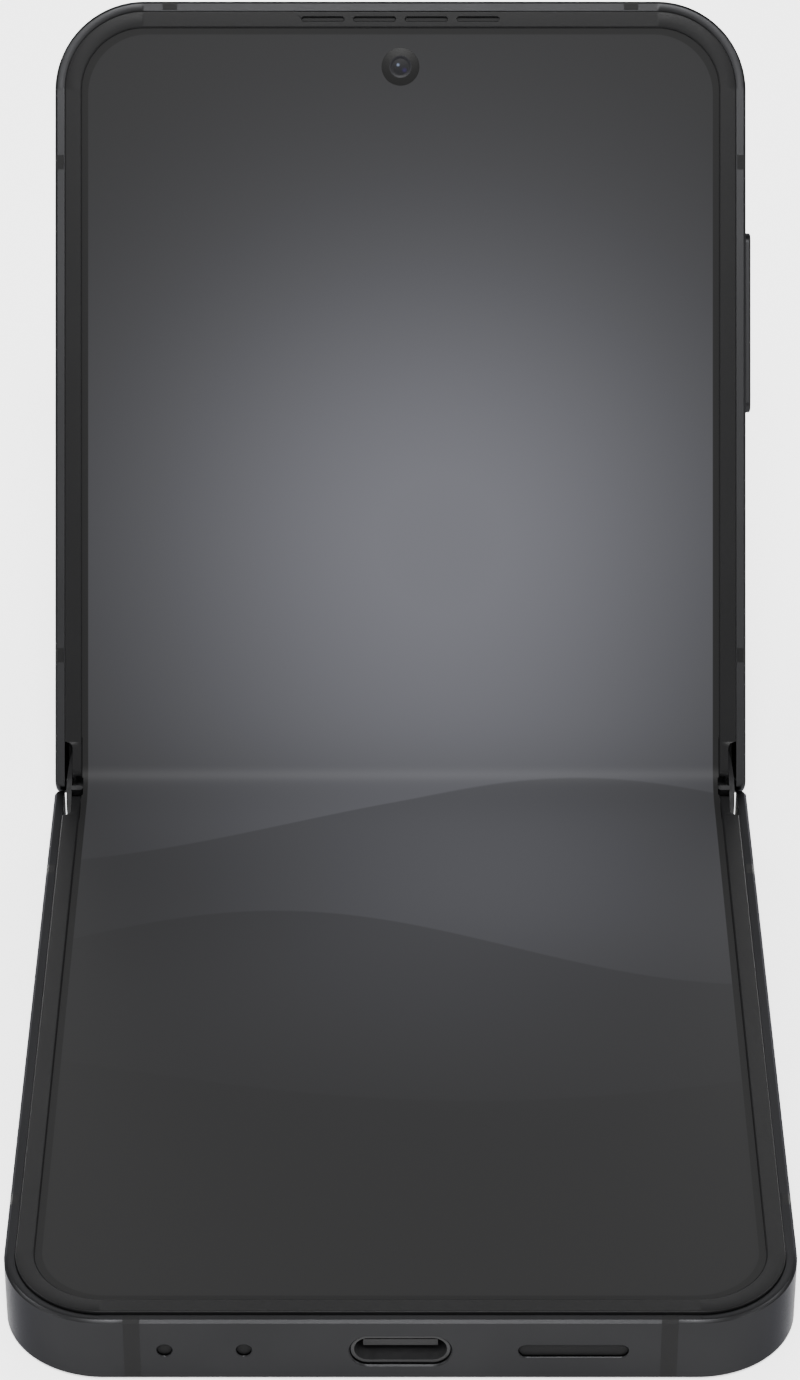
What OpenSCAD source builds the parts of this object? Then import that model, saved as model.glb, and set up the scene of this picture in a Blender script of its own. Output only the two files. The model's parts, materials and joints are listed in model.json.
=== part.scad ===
// Clamshell folding phone: two flat halves on a geared two-axis hinge, with a display that bends across it.
// Each half is drawn flat and open: X across, +Y from the fold to the far edge, +Z out of the display,
// Z = 0 at the frame's top face. The lower half is the mirror of that, and lies on the floor.

/* [Pose] */
// Angle between the two halves' displays in the modelled rest pose
opening_angle = 123; // [118:0.5:130]

/* [Halves] */
// Width of the phone across the frames
body_w = 71.9; // [71:0.1:74]
// Length of one half, from the fold to its far edge
half_l = 82.55; // [81.5:0.05:86]
// Thickness of one half, back glass to frame top
half_t = 6.9; // [6.8:0.05:7.4]
// Radius of the far corners in plan
corner_r = 9.3; // [8.5:0.1:11]
// Chamfer on the frame's front edge
front_chamfer = 0.25; // [0.15:0.05:0.35]
// Chamfer on the frame's back edge
back_chamfer = 0.3; // [0.2:0.05:0.4]
// Width of the frame's top face
rail_t = 1; // [0.95:0.01:1.05]
// Thickness of the frame's walls below the display
wall_t = 1.4; // [1.3:0.05:1.6]
// Thickness of the plate under the display
midplate_t = 0.5; // [0.4:0.05:0.6]
// Thickness of the back glass
glass_t = 0.5; // [0.4:0.05:0.55]
// Distance from the frame's outside to the back glass
glass_inset = 0.75; // [0.7:0.05:1]

/* [Display] */
// Thickness of the folding display
display_t = 0.5; // [0.4:0.05:0.55]
// Half length of the stretch that bends, measured along the display
bend_l = 6; // [5.8:0.1:6.4]
// Angle through which the bend first droops before it turns up
droop_angle = 20; // [17:0.5:22]
// Distance from the frame's outside to the display's edge, under the bezel
display_inset = 2.2; // [2.15:0.05:2.4]
// Distance from the frame's outside to the edge of the bending stretch
bend_inset = 3; // [2.95:0.05:3.3]
// Height of the bezel over the frame
bezel_h = 0.25; // [0.2:0.01:0.26]
// Distance from the frame's outside to the bezel's inner edge
bezel_inset = 2.8; // [2.6:0.05:3.1]
// Radius of the hole for the front camera
front_cam_r = 1.97; // [1.6:0.01:2.1]
// Distance from the far edge to the front camera's axis
front_cam_y = 6.82; // [6.6:0.01:7.1]

/* [Hinge] */
// Distance of each fold axis from the middle of the hinge
axis_y = 2.1; // [2.1:0.01:2.15]
// Depth of the fold axes below the frame's top face
axis_depth = 1.55; // [1.52:0.01:1.58]
// Gap from the middle of the fold to the end of each frame
end_gap = 0.1; // [0.08:0.01:0.12]
// Radius of the spine cover's outside about each fold axis
spine_r = 4.65; // [4.6:0.01:4.68]
// Thickness of the spine cover
spine_wall = 0.6; // [0.55:0.01:0.65]
// Gap between the spine cover and the cross beams of the halves
spine_gap = 0.35; // [0.3:0.01:0.4]
// Gap between the hinge's end caps and the side rails
cap_gap = 0.2; // [0.15:0.01:0.25]
// Thickness of the end caps at their middle
cap_t = 0.55; // [0.5:0.01:0.6]
// Half the width of the small tongue on each end cap
tongue_r = 0.25; // [0.2:0.01:0.26]
// Inner radius of the curved rails that carry each half
rail_r1 = 3.05; // [3.03:0.01:3.08]
// Outer radius of the curved rails
rail_r2 = 3.75; // [3.7:0.01:3.78]
// Radial running clearance of the curved rails
rail_clear = 0.05; // [0.02:0.01:0.08]
// Width of one curved rail
rail_w = 1.4; // [1.2:0.05:1.6]
// Side clearance of each curved rail
lane_clear = 0.1; // [0.08:0.01:0.15]
// Thickness of the bracket's outer walls
end_wall = 0.8; // [0.7:0.05:1]
// Thickness of the bracket's walls between rails
lane_wall = 0.5; // [0.4:0.05:0.7]
// Distance of each hinge module's inner end from the middle of the phone
module_x = 14; // [13:0.5:16]

/* [Sync gears] */
// Tooth module of the gear train
gear_m = 0.15; // [0.15:0.001:0.151]
// Teeth on each of the four small gears
gear_teeth = 12; // [12:1:12]
// Teeth that a full circle of each toothed sector would have
sector_teeth = 27; // [27:1:27]
// Pressure angle of the teeth
pressure_angle = 25; // [25:0.5:27]
// Width of one gear lane
gear_w = 0.9; // [0.8:0.05:1]
// Radius of the gear pins
pin_r = 0.35; // [0.3:0.01:0.36]
// Radial running clearance of the gears on their pins
pin_clear = 0.03; // [0.02:0.01:0.04]
// Backlash, as thickness taken off each tooth
backlash = 0.03; // [0.02:0.005:0.04]

/* [Keys and tray] */
// Distance from the fold to the middle of the volume key
volume_y = 49.3; // [48:0.1:50]
// Length of the volume key
volume_l = 18.8; // [17:0.1:20]
// Distance from the fold to the middle of the power key
power_y = 28; // [26:0.1:30]
// Length of the power key
power_l = 11; // [9:0.1:12]
// Width of the side keys
key_w = 2.1; // [1.9:0.05:2.4]
// Height of the volume key over the frame
volume_h = 0.7; // [0.4:0.01:0.75]
// Depth of the power key's face below the frame
power_sink = 0.1; // [0.05:0.01:0.15]
// Gap round each key
key_gap = 0.06; // [0.04:0.01:0.08]
// Distance that each key moves when pressed
key_travel = 0.25; // [0.2:0.01:0.3]
// Distance from the fold to the middle of the SIM tray
tray_y = 52; // [51:0.5:54]
// Length of the SIM tray's face
tray_l = 14.6; // [14:0.1:15.5]
// Thickness of the SIM tray's face
tray_w = 1.9; // [1.7:0.05:2.2]
// Depth of the SIM tray inside the phone
tray_depth = 12.5; // [11:0.5:13]

/* [Openings] */
// Width of the charging port
port_w = 9.07; // [9.05:0.01:9.2]
// Height of the charging port
port_h = 3.3; // [3.25:0.01:3.4]
// Depth of the port's middle below the frame's top face
port_z = 3.55; // [3.5:0.01:3.6]
// Radius of the microphone holes
mic_r = 0.68; // [0.5:0.01:0.75]
// Distance of the first microphone hole from the middle
mic_x1 = 14; // [13:0.1:15]
// Distance of the second microphone hole from the middle
mic_x2 = 21.1; // [20:0.1:22]
// Distance of the loudspeaker slot from the middle
speaker_x = 15.46; // [15:0.01:16]
// Length of the loudspeaker slot
speaker_l = 9.83; // [9:0.01:10.5]
// Height of the loudspeaker slot
speaker_h = 1.41; // [1.2:0.01:1.6]
// Length of one earpiece slot
ear_slot_l = 4.4; // [4:0.05:4.6]
// Width of one earpiece slot
ear_slot_w = 0.46; // [0.4:0.01:0.6]
// Spacing of the earpiece slots
ear_pitch = 5.38; // [5.3:0.01:5.6]
// Width of each antenna break
break_w = 1.5; // [1.2:0.05:1.8]
// Distance from the fold to the first antenna break
break_y1 = 14.5; // [14:0.1:15.5]
// Distance from the fold to the second antenna break
break_y2 = 65.8; // [64:0.1:67]
// Distance of the end breaks from the middle
break_x = 24; // [23.8:0.1:24.5]

/* [Rear cameras] */
// Distance of the outer rear camera from the middle
cam_x1 = 25; // [24.8:0.1:25.5]
// Distance of the inner rear camera from the middle
cam_x2 = 11.6; // [11.5:0.1:12]
// Distance of both rear cameras from the far edge
cam_y = 10.6; // [10.5:0.1:11.5]
// Radius of the rear camera rings
cam_ring_r = 5.6; // [5.3:0.05:5.8]
// Height of the rear camera rings over the back glass
cam_ring_h = 1.1; // [0.9:0.05:1.4]
// Radius of the flash window
flash_r = 1.6; // [1.3:0.05:1.8]

/* [Hidden] */
$fn = 64;

// How far each half has turned about its own axis in the rest pose
fold = (180 - opening_angle) / 2;
// Overlap that carries a cut past a face
past = 1;
// Play between pieces of one half that are glued or clipped
seat = 0.05;

// Half width, and the centres of the far corners
hw = body_w / 2;
corner_x = hw - corner_r;
corner_y = half_l - corner_r;
// Heights of the layers under the display
plate_top = -display_t - seat;
plate_bottom = plate_top - midplate_t;
glass_top = -half_t + glass_t;
bay_z = glass_top + seat;
// Top of the parts that stand in the bay under the plate
parts_top = plate_bottom - 2 * seat;
// Gap between the bay's walls and the parts beside them
bay_gap = 0.4;
// Depth of the antenna breaks in the frame
break_t = rail_t - 0.1;
// Fold axis of a half
axis_z = -axis_depth;
spine_bottom = axis_z - spine_r;
spine_in_r = spine_r - spine_wall;
// Hinge end of a half: the bay for the spine, then the cross beam
bay_y = axis_y + spine_r + spine_gap;
beam_l = 5.2;
beam_y = bay_y + beam_l;
ear_r = axis_y - end_gap;
strip_l = 1.2;
// Spine length, up to the end caps' flanges
cap_x = hw - rail_t - cap_gap;
spine_x = cap_x - cap_t;
cap_half = 5.6;
// Bezel arms beside the end caps
slot_inset = hw - spine_x + 0.1;
slot_y = 4.9;
arm_turn_y = 2.5;
arm_turn_r = 1;
tongue_top = axis_z + 0.99;
tongue_h = 1.2;
tongue_x = hw - bend_inset + 0.1;

// Hinge arms: their plates lie on the cross beam
arm_z1 = axis_z + 0.12;
arm_z2 = axis_z + 0.6;
arm_y1 = axis_y + 2.95;
arm_y2 = bay_y + 4;
rail_start = -160;
rail_end = 3;
bracket_top = axis_z - 0.95;
// Lanes along X in one hinge module, counted from its inner end
lane_w = rail_w + 2 * lane_clear;
lane_b1 = end_wall;
lane_a1 = lane_b1 + lane_w + lane_wall;
lane_g = lane_a1 + lane_w + lane_wall;
lane_b2 = lane_g + 3 * gear_w + 4 * lane_clear + lane_wall;
lane_a2 = lane_b2 + lane_w + lane_wall;
module_l = lane_a2 + lane_w + end_wall;

// Gear train: four gears in a row between the two sectors
gear_r = gear_m * gear_teeth / 2;
sector_r = gear_m * sector_teeth / 2;
outer_gear_y = 3 * gear_r;
gear_z = axis_z - sqrt(pow(gear_r + sector_r, 2) - pow(outer_gear_y - axis_y, 2));
gear_y = [-3 * gear_r, -gear_r, gear_r, 3 * gear_r];
gear_bore = pin_r + pin_clear;
mesh_b = atan2(gear_z - axis_z, outer_gear_y - axis_y);
tooth = 360 / gear_teeth;
sector_tooth = 360 / sector_teeth;

// Angle of a tooth on the gear that meshes with one whose tooth lies at angle p; d points from that one to this
function meshed(p, d, pitch_from, pitch_to) = d + 180 - pitch_to * (0.5 - (d - p) / pitch_from);
phase_4 = meshed(mesh_b, mesh_b, sector_tooth, tooth);
phase_3 = meshed(phase_4, 180, tooth, tooth);
phase_2 = meshed(phase_3, 180, tooth, tooth);
phase_1 = meshed(phase_2, 180, tooth, tooth);
gear_phase = [phase_1, phase_2, phase_3, phase_4];
phase_a = meshed(phase_1, 180 - mesh_b + 180, tooth, sector_tooth);
// Turn of each gear at rest, counted from the flat phone
gear_ratio = sector_teeth / gear_teeth;
gear_turn = [for (i = [0:3]) (i % 2 == 0 ? 1 : -1) * gear_ratio * fold];

// Ports and keys
mid_z = -half_t / 2;
camera_far = half_l - cam_y;
earpiece_y = half_l - 1.73;
window_y = half_l - front_cam_y;
tray_z = -2;
card_w = 9;
board_top = -3.1;
board_t = 0.6;
key_in = hw - wall_t - 0.35;

// ---------- Placement ----------
// From the flat phone to the rest pose: the lower half's back lies on Z = 0 with its middle at the origin
module on_lower() { translate([0, half_l / 2, half_t]) children(); }
module turn(y) { translate([0, y, axis_z]) rotate([fold, 0, 0]) translate([0, -y, -axis_z]) children(); }
module on_spine() { on_lower() turn(-axis_y) children(); }
module on_upper() { on_spine() turn(axis_y) children(); }
module as_lower() { on_lower() mirror([0, 1, 0]) children(); }
module both_sides() { children(); mirror([1, 0, 0]) children(); }

// Turns a shape drawn in the X-Y plane into one whose plan lies across the hinge, with its height along X
module along_x(x, y, z) { translate([x, y, z]) rotate([90, 0, 90]) children(); }
// The same for a shape whose height runs along Y, from y on
module along_y(x, y, z) { translate([x, y, z]) rotate([90, 0, 0]) mirror([0, 0, 1]) children(); }

// ---------- Outlines ----------
// Plan of a half at a distance inside its outline, from y0 to the far edge
module half_plan(inset, y0) {
    w = hw - inset;
    translate([-w, y0]) square([2 * w, corner_y - y0]);
    translate([-corner_x, y0]) square([2 * corner_x, half_l - inset - y0]);
    for (s = [-1, 1]) translate([s * corner_x, corner_y]) circle(corner_r - inset);
}

// Slab of that plan between two heights
module slab(inset, y0, z1, z2) { translate([0, 0, z1]) linear_extrude(z2 - z1) half_plan(inset, y0); }

// Carries a section round the three outer sides of a half; its x is measured out from the corners' centres
module round_half(y0) {
    both_sides() {
        translate([corner_x, corner_y, 0]) rotate([90, 0, 0]) linear_extrude(corner_y - y0) children();
        translate([corner_x, corner_y, 0]) rotate_extrude(angle = 90) children();
    }
    translate([-corner_x, corner_y, 0]) rotate([90, 0, 90]) linear_extrude(2 * corner_x) children();
}

// A point of such a section, given by its distance inside the outline and its height
function at(inset, z) = [corner_r - inset, z];

// Slot outline with round ends
module stadium(l, h) {
    square([l - h, h], center = true);
    for (s = [-1, 1]) translate([s * (l - h) / 2, 0]) circle(h / 2);
}

// Rectangle with round corners, from its low corner
module rounded(w, l, r) {
    translate([r, 0]) square([w - 2 * r, l]);
    translate([0, r]) square([w, l - 2 * r]);
    for (x = [r, w - r], y = [r, l - r]) translate([x, y]) circle(r);
}
module block(x, y, z, w, l, h, r) { translate([x, y, z]) linear_extrude(h) rounded(w, l, r); }

// The same, kept clear of the walls of the bay
module bay_block(x, y, z, w, l, h, r) {
    intersection() {
        block(x, y, z, w, l, h, r);
        slab(wall_t + bay_gap, beam_y, z - past, z + h + past);
    }
}

// Part of a ring between two radii and two angles, as thick as w and centred on its plane
module arc_bar(r1, r2, a1, a2, w) {
    rotate([0, 0, a1]) rotate_extrude(angle = a2 - a1) translate([r1, -w / 2]) square([r2 - r1, w]);
}

// ---------- Frames ----------
// The frame's wall: chamfered outside, a ledge for the bezel inside, a rebate for the back glass below
module wall_section() {
    polygon([
        at(back_chamfer, -half_t), at(0, -half_t + back_chamfer), at(0, -front_chamfer), at(front_chamfer, 0),
        at(rail_t, 0), at(rail_t, plate_top), at(wall_t + seat, plate_top), at(wall_t + seat, bay_z),
        at(glass_inset - seat, bay_z), at(glass_inset - seat, -half_t)
    ]);
}

// Rounds the hinge ends of the side rails above the fold axis, about that axis
module ear_rounding() {
    along_x(-hw - past, axis_y, axis_z) linear_extrude(body_w + 2 * past) difference() {
        translate([-axis_y - past, 0]) square([axis_y + past, axis_depth + past]);
        circle(ear_r);
    }
}

module break_cuts(depth) {
    both_sides() {
        for (y = [break_y1, break_y2])
            translate([hw - depth, y - break_w / 2, -half_t]) cube([depth, break_w, half_t]);
        translate([break_x - break_w / 2, half_l - depth, -half_t]) cube([break_w, depth, half_t]);
    }
}

module half_frame() {
    // Half width between the walls, where the plate and the beam join them
    inner_w = hw - wall_t + seat;
    difference() {
        union() {
            difference() {
                round_half(end_gap) wall_section();
                translate([-hw + rail_t, -past, bay_z]) cube([2 * (hw - rail_t), bay_y + past, half_t + past]);
                ear_rounding();
                break_cuts(break_t);
            }
            // Strip across the back of the hinge
            translate([-hw + rail_t - seat, end_gap, -half_t]) cube([body_w - 2 * rail_t + 2 * seat, strip_l, bay_z + half_t]);
            // Cross beam that takes the hinge arms, and the step behind them
            translate([-inner_w, bay_y, bay_z]) cube([2 * inner_w, beam_l, arm_z1 - seat - bay_z]);
            translate([-inner_w, arm_y2 + 0.3, bay_z]) cube([2 * inner_w, beam_y - arm_y2 - 0.3, plate_top - bay_z]);
            // Plate under the display
            slab(wall_t - seat, beam_y - seat, plate_bottom, plate_top);
        }
        // Screw holes in the beam
        both_sides() screw_places() translate([0, 0, -screw_l - seat]) cylinder(r = screw_r + seat, h = screw_l + past);
    }
}

// The plastic in the antenna breaks: the same wall section, kept where the cuts are
module half_breaks() {
    intersection() {
        round_half(bay_y) polygon([
            at(back_chamfer, -half_t), at(0, -half_t + back_chamfer), at(0, -front_chamfer),
            at(front_chamfer, 0), at(break_t - seat / 2, 0), at(break_t - seat / 2, bay_z),
            at(glass_inset - seat, bay_z), at(glass_inset - seat, -half_t)
        ]);
        break_cuts(rail_t);
    }
}

module lower_frame() {
    color("#3c3d42") as_lower() difference() {
        half_frame();
        // Port, microphone holes and loudspeaker slot in the end wall
        along_y(0, half_l - wall_t - past, -port_z) linear_extrude(wall_t + 2 * past) stadium(port_w, port_h);
        for (x = [-mic_x1, -mic_x2])
            along_y(x, half_l - wall_t - past, mid_z) cylinder(r = mic_r, h = wall_t + 2 * past);
        along_y(speaker_x, half_l - wall_t - past, mid_z - 0.1) linear_extrude(wall_t + 2 * past)
            stadium(speaker_l, speaker_h);
    }
}

module upper_frame() {
    color("#3c3d42") on_upper() difference() {
        half_frame();
        // Seats of the two side keys
        along_x(hw - wall_t - past, volume_y, mid_z) linear_extrude(wall_t + 2 * past)
            stadium(volume_l + 2 * key_gap, key_w + 2 * key_gap);
        along_x(hw - wall_t - past, power_y, mid_z) linear_extrude(wall_t + 2 * past)
            stadium(power_l + 2 * key_gap, key_w + 2 * key_gap);
        // Seat of the SIM tray
        along_x(-hw - past, tray_y, tray_z - 0.25) linear_extrude(wall_t + 2 * past)
            stadium(tray_l + 2 * key_gap, tray_w + 2 * key_gap);
        // Hole under the front camera
        translate([0, window_y, plate_bottom - past]) cylinder(r = front_cam_r + 0.3, h = midplate_t + 2 * past);
        // Microphone hole in the top edge
        along_y(-mic_x1, half_l - wall_t - past, mid_z) cylinder(r = mic_r, h = wall_t + 2 * past);
        // Opening under the earpiece slots
        translate([-5.8, earpiece_y - 0.35, plate_bottom - past]) cube([11.6, 0.7, midplate_t + 2 * past]);
    }
}

module lower_antenna_breaks() { color("#303136") as_lower() half_breaks(); }
module upper_antenna_breaks() { color("#303136") on_upper() half_breaks(); }

// ---------- Glass, bezel and display ----------
// Back glass with a bevelled edge; it starts behind the hinge strip
module half_glass() {
    bevel = 0.2;
    y0 = end_gap + strip_l + seat;
    slab(glass_inset + bevel, y0, -half_t, glass_top);
    round_half(y0) polygon([
        at(glass_inset + 2 * bevel, -half_t), at(glass_inset + bevel, -half_t), at(glass_inset, -half_t + bevel),
        at(glass_inset, glass_top), at(glass_inset + 2 * bevel, glass_top)
    ]);
}

// Bezel: a foot beside the display and a low lip over its edge
module bezel_section() {
    polygon([
        at(rail_t + seat, -display_t), at(rail_t + seat, bezel_h - 0.06), at(rail_t + seat + 0.06, bezel_h),
        at(bezel_inset - 0.18, bezel_h), at(bezel_inset, bezel_h - 0.12), at(bezel_inset, 0.04),
        at(display_inset - seat, 0.04), at(display_inset - seat, -display_t)
    ]);
}

module half_bezel() {
    difference() {
        round_half(arm_turn_y - arm_turn_r) bezel_section();
        // Slots beside the hinge's end caps
        both_sides() hull() {
            translate([hw - slot_inset, -past, -display_t - past]) cube([slot_inset, slot_y, display_t + 2 * past]);
            translate([hw - rail_t, -past, -display_t - past]) cube([rail_t, slot_y + 0.6, display_t + 2 * past]);
        }
        // Arms turn down towards the fold
        along_x(-hw, arm_turn_y, bezel_h - arm_turn_r) linear_extrude(body_w) difference() {
            translate([-arm_turn_r - past, -past]) square([arm_turn_r + past, arm_turn_r + 2 * past]);
            circle(arm_turn_r);
        }
    }
}

module half_display() { slab(display_inset, bend_l, -display_t, 0); }

module lower_back_glass() { color("#4a4c52") as_lower() half_glass(); }
module lower_bezel() { color("#34353a") as_lower() half_bezel(); }
module display_lower() { color("#2c2d33") as_lower() half_display(); }

module upper_back_glass() {
    color("#4a4c52") on_upper() difference() {
        half_glass();
        for (x = [cam_x1, cam_x2]) translate([x, camera_far, -half_t - past])
            cylinder(r = cam_ring_r - 0.6, h = glass_t + 2 * past);
        translate([flash_x, camera_far, -half_t - past]) cylinder(r = flash_r + seat, h = glass_t + 2 * past);
    }
}

module upper_bezel() {
    color("#34353a") on_upper() difference() {
        half_bezel();
        for (i = [-1.5:1:1.5]) translate([i * ear_pitch, earpiece_y, -display_t - past])
            linear_extrude(display_t + 2 * past + bezel_h) stadium(ear_slot_l, ear_slot_w);
    }
}

module display_upper() {
    color("#2c2d33") on_upper() difference() {
        half_display();
        translate([0, window_y, -display_t - past]) cylinder(r = front_cam_r, h = display_t + 2 * past);
    }
}

// The bend: two wide arcs droop from the halves, and one tight arc between them turns up.
// Their radii make the bend as long as the display and put its middle on the hinge's middle plane.
bend_z = -display_t / 2;
bend_rel = axis_depth + bend_z;
meet_y = axis_y + (bend_rel * sin(fold) - axis_y) / cos(fold);
wide_k = sin(droop_angle) * cos(fold) - (1 - cos(droop_angle)) * sin(fold);
tight_k = (sin(droop_angle) + sin(fold)) * cos(fold) + (cos(droop_angle) - cos(fold)) * sin(fold);
droop_rad = droop_angle * PI / 180;
turn_rad = (droop_angle + fold) * PI / 180;
tight_r = ((bend_l - meet_y) * cos(fold) - bend_l * wide_k / droop_rad) / (tight_k - turn_rad * wide_k / droop_rad);
wide_r = (bend_l - turn_rad * tight_r) / droop_rad;
tight_y = bend_l - (wide_r + tight_r) * sin(droop_angle);
tight_z = bend_z - wide_r + (wide_r + tight_r) * cos(droop_angle);

// A point of the upper half's section, seen from the hinge's middle
function from_middle(p) = let (y = p[0] - axis_y, z = p[1] - axis_z)
    [axis_y + y * cos(fold) - z * sin(fold), axis_z + y * sin(fold) + z * cos(fold)];
function on_arc(y, z, r, a) = [y + r * cos(a), z + r * sin(a)];
arc_steps = 6;
// One face of the bend's upper half, at a distance off above its middle layer, from its end to the fold's middle
function bend_face(off) = concat(
    [for (i = [0:arc_steps]) from_middle(on_arc(bend_l, bend_z - wide_r, wide_r + off, 90 + droop_angle * i / arc_steps))],
    [for (i = [1:arc_steps]) from_middle(on_arc(tight_y, tight_z, tight_r - off,
        270 + droop_angle - (droop_angle + fold) * i / arc_steps))]);
function mirrored(points) = [for (i = [len(points) - 2:-1:0]) [-points[i][0], points[i][1]]];
function back_to_front(points) = [for (i = [len(points) - 1:-1:0]) points[i]];

module display_bend() {
    top = bend_face(display_t / 2);
    bottom = bend_face(-display_t / 2);
    color("#2c2d33") on_spine() along_x(bend_inset - hw, 0, 0) linear_extrude(2 * (hw - bend_inset))
        polygon(concat(top, mirrored(top), back_to_front(concat(bottom, mirrored(bottom)))));
}

// Steel plate that carries the display beside the bend
module support_plate() {
    translate([-hw + 4, bend_l + 0.1, plate_top - 0.25])
        cube([body_w - 8, arm_y2 + 0.2 - bend_l - 0.1, 0.2]);
}
module lower_support_plate() { color("#8f9196") as_lower() support_plate(); }
module upper_support_plate() { color("#8f9196") on_upper() support_plate(); }

// ---------- Hinge ----------
screw_r = 0.45;
screw_head_r = 0.85;
screw_head_t = 0.25;
screw_l = 2.6;

// Two screw places on one hinge arm plate, at the level of the beam's top
module screw_places() {
    for (x = [module_x + 1.6, module_x + module_l - 1.6])
        translate([x, bay_y + 2, arm_z1]) children();
}

module screws() {
    both_sides() screw_places() {
        translate([0, 0, -screw_l]) cylinder(r = screw_r, h = screw_l + 0.2);
        translate([0, 0, 0.2]) cylinder(r = screw_head_r, h = screw_head_t);
    }
}
module lower_hinge_screws() { color("#9a9ca0") as_lower() screws(); }
module upper_hinge_screws() { color("#9a9ca0") on_upper() screws(); }

// Plan of the trough about both fold axes, with its flat bottom
module trough(r) {
    difference() {
        union() {
            for (s = [-1, 1]) translate([s * axis_y, axis_z]) circle(r);
            translate([-axis_y, axis_z - r]) square([2 * axis_y, r]);
        }
        translate([-axis_y - r - past, axis_z]) square([2 * (axis_y + r + past), r + past]);
    }
}

module spine_cover() {
    color("#3a3b40") on_spine() along_x(-spine_x, 0, 0) linear_extrude(2 * spine_x) difference() {
        trough(spine_r);
        trough(spine_in_r);
    }
}

// End cap: a crowned flange with a pointed outline, a plug in the trough, and a flat tongue beside the display's edge
module end_cap() {
    crown_r = (pow(cap_half, 2) + pow(cap_t, 2)) / (2 * cap_t);
    top_h = 0.8;
    top_r = (pow(cap_half, 2) + pow(top_h, 2)) / (2 * top_h);
    plug_l = 1.5;
    intersection() {
        along_x(spine_x, 0, 0) linear_extrude(cap_t + past) union() {
            intersection() {
                trough(spine_r);
                translate([-cap_half, spine_bottom]) square([2 * cap_half, spine_r]);
            }
            intersection() {
                translate([0, axis_z + top_h - top_r]) circle(top_r);
                translate([-cap_half, axis_z - 0.5]) square([2 * cap_half, 0.5 + top_h]);
            }
        }
        translate([cap_x - crown_r, 0, spine_bottom - past]) cylinder(r = crown_r, h = spine_r + 3 * past, $fn = 256);
    }
    along_x(spine_x - plug_l, 0, 0) linear_extrude(plug_l + seat) difference() {
        trough(spine_in_r - seat);
        translate([-hw, bracket_top]) square([body_w, 2 * half_t]);
    }
    // Tongue
    translate([tongue_x + tongue_r, 0, tongue_top - tongue_h]) linear_extrude(tongue_h) {
        circle(tongue_r);
        translate([0, -tongue_r]) square([spine_x + seat - tongue_x - tongue_r, 2 * tongue_r]);
    }
}
module right_end_cap() { color("#404146") on_spine() end_cap(); }
module left_end_cap() { color("#404146") on_spine() mirror([1, 0, 0]) end_cap(); }

// Places a lane's contents: x is the lane's inner edge in the module, s = 1 for the upper fold axis, -1 for the lower
module lane(x, w, s) { along_x(module_x + x + w / 2, s * axis_y, axis_z) children(); }

// Bracket: it fills the trough, with a curved groove for each rail and a bay for the gears
module bracket() {
    groove_1 = rail_r1 - rail_clear;
    groove_2 = rail_r2 + rail_clear;
    gear_bay = 3 * gear_w + 4 * lane_clear;
    third = gear_bay / 3;
    tip = gear_r + gear_m + 0.1;
    difference() {
        along_x(module_x, 0, 0) linear_extrude(module_l) difference() {
            trough(spine_in_r - seat);
            translate([-hw, bracket_top]) square([body_w, 2 * half_t]);
        }
        for (x = [lane_b1, lane_b2]) lane(x, lane_w, 1) arc_bar(groove_1, groove_2, 0, 360, lane_w);
        for (x = [lane_a1, lane_a2]) lane(x, lane_w, -1) arc_bar(groove_1, groove_2, 0, 360, lane_w);
        // The sectors' lanes are open on their own side
        translate([module_x + lane_g, -0.4, axis_z - half_t]) cube([third, 2 * half_t, 2 * half_t]);
        translate([module_x + lane_g + 2 * third, 0.4 - 2 * half_t, axis_z - half_t]) cube([third, 2 * half_t, 2 * half_t]);
        // Room for the gears
        translate([module_x + lane_g, -outer_gear_y - tip, gear_z - 2 * tip]) cube([gear_bay, 2 * (outer_gear_y + tip), 3 * tip]);
        for (y = gear_y) along_x(module_x, y, gear_z) translate([0, 0, -past]) cylinder(r = pin_r + 0.02, h = module_l + 2 * past);
    }
}
module hinge_brackets() { color("#77797e") on_spine() both_sides() bracket(); }

module gear_pins() {
    color("#b0b2b6") on_spine() both_sides() for (y = gear_y)
        along_x(module_x + lane_g - lane_wall, y, gear_z)
            cylinder(r = pin_r, h = 3 * gear_w + 4 * lane_clear + 2 * lane_wall);
}

// Involute of the base circle, as an angle in degrees
function inv(a) = tan(a) * 180 / PI - a;
// Half the angle that a tooth takes at a radius
function half_tooth(r, pitch_r, n, at_r) =
    90 / n - backlash / (2 * pitch_r) * 180 / PI + inv(pressure_angle)
    - inv(acos(min(1, pitch_r * cos(pressure_angle) / at_r)));
flank_steps = 3;
root_drop = 1.15;
tip_rise = 0.85;

// Outline of n_drawn teeth of a gear with n teeth, the first at angle start
function teeth(n, start, n_drawn) =
    let (pitch_r = gear_m * n / 2, base = pitch_r * cos(pressure_angle),
         root = pitch_r - root_drop * gear_m, low = max(base, root) + 0.005, top = pitch_r + tip_rise * gear_m)
    [for (k = [0:n_drawn - 1]) let (mid = start + k * 360 / n) each concat(
        [let (a = mid - half_tooth(pitch_r, pitch_r, n, low)) root * [cos(a), sin(a)]],
        [for (i = [0:flank_steps]) let (r = low + (top - low) * i / flank_steps,
            a = mid - half_tooth(pitch_r, pitch_r, n, r)) r * [cos(a), sin(a)]],
        [for (i = [flank_steps:-1:0]) let (r = low + (top - low) * i / flank_steps,
            a = mid + half_tooth(pitch_r, pitch_r, n, r)) r * [cos(a), sin(a)]],
        [let (a = mid + half_tooth(pitch_r, pitch_r, n, low)) root * [cos(a), sin(a)]])];

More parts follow.
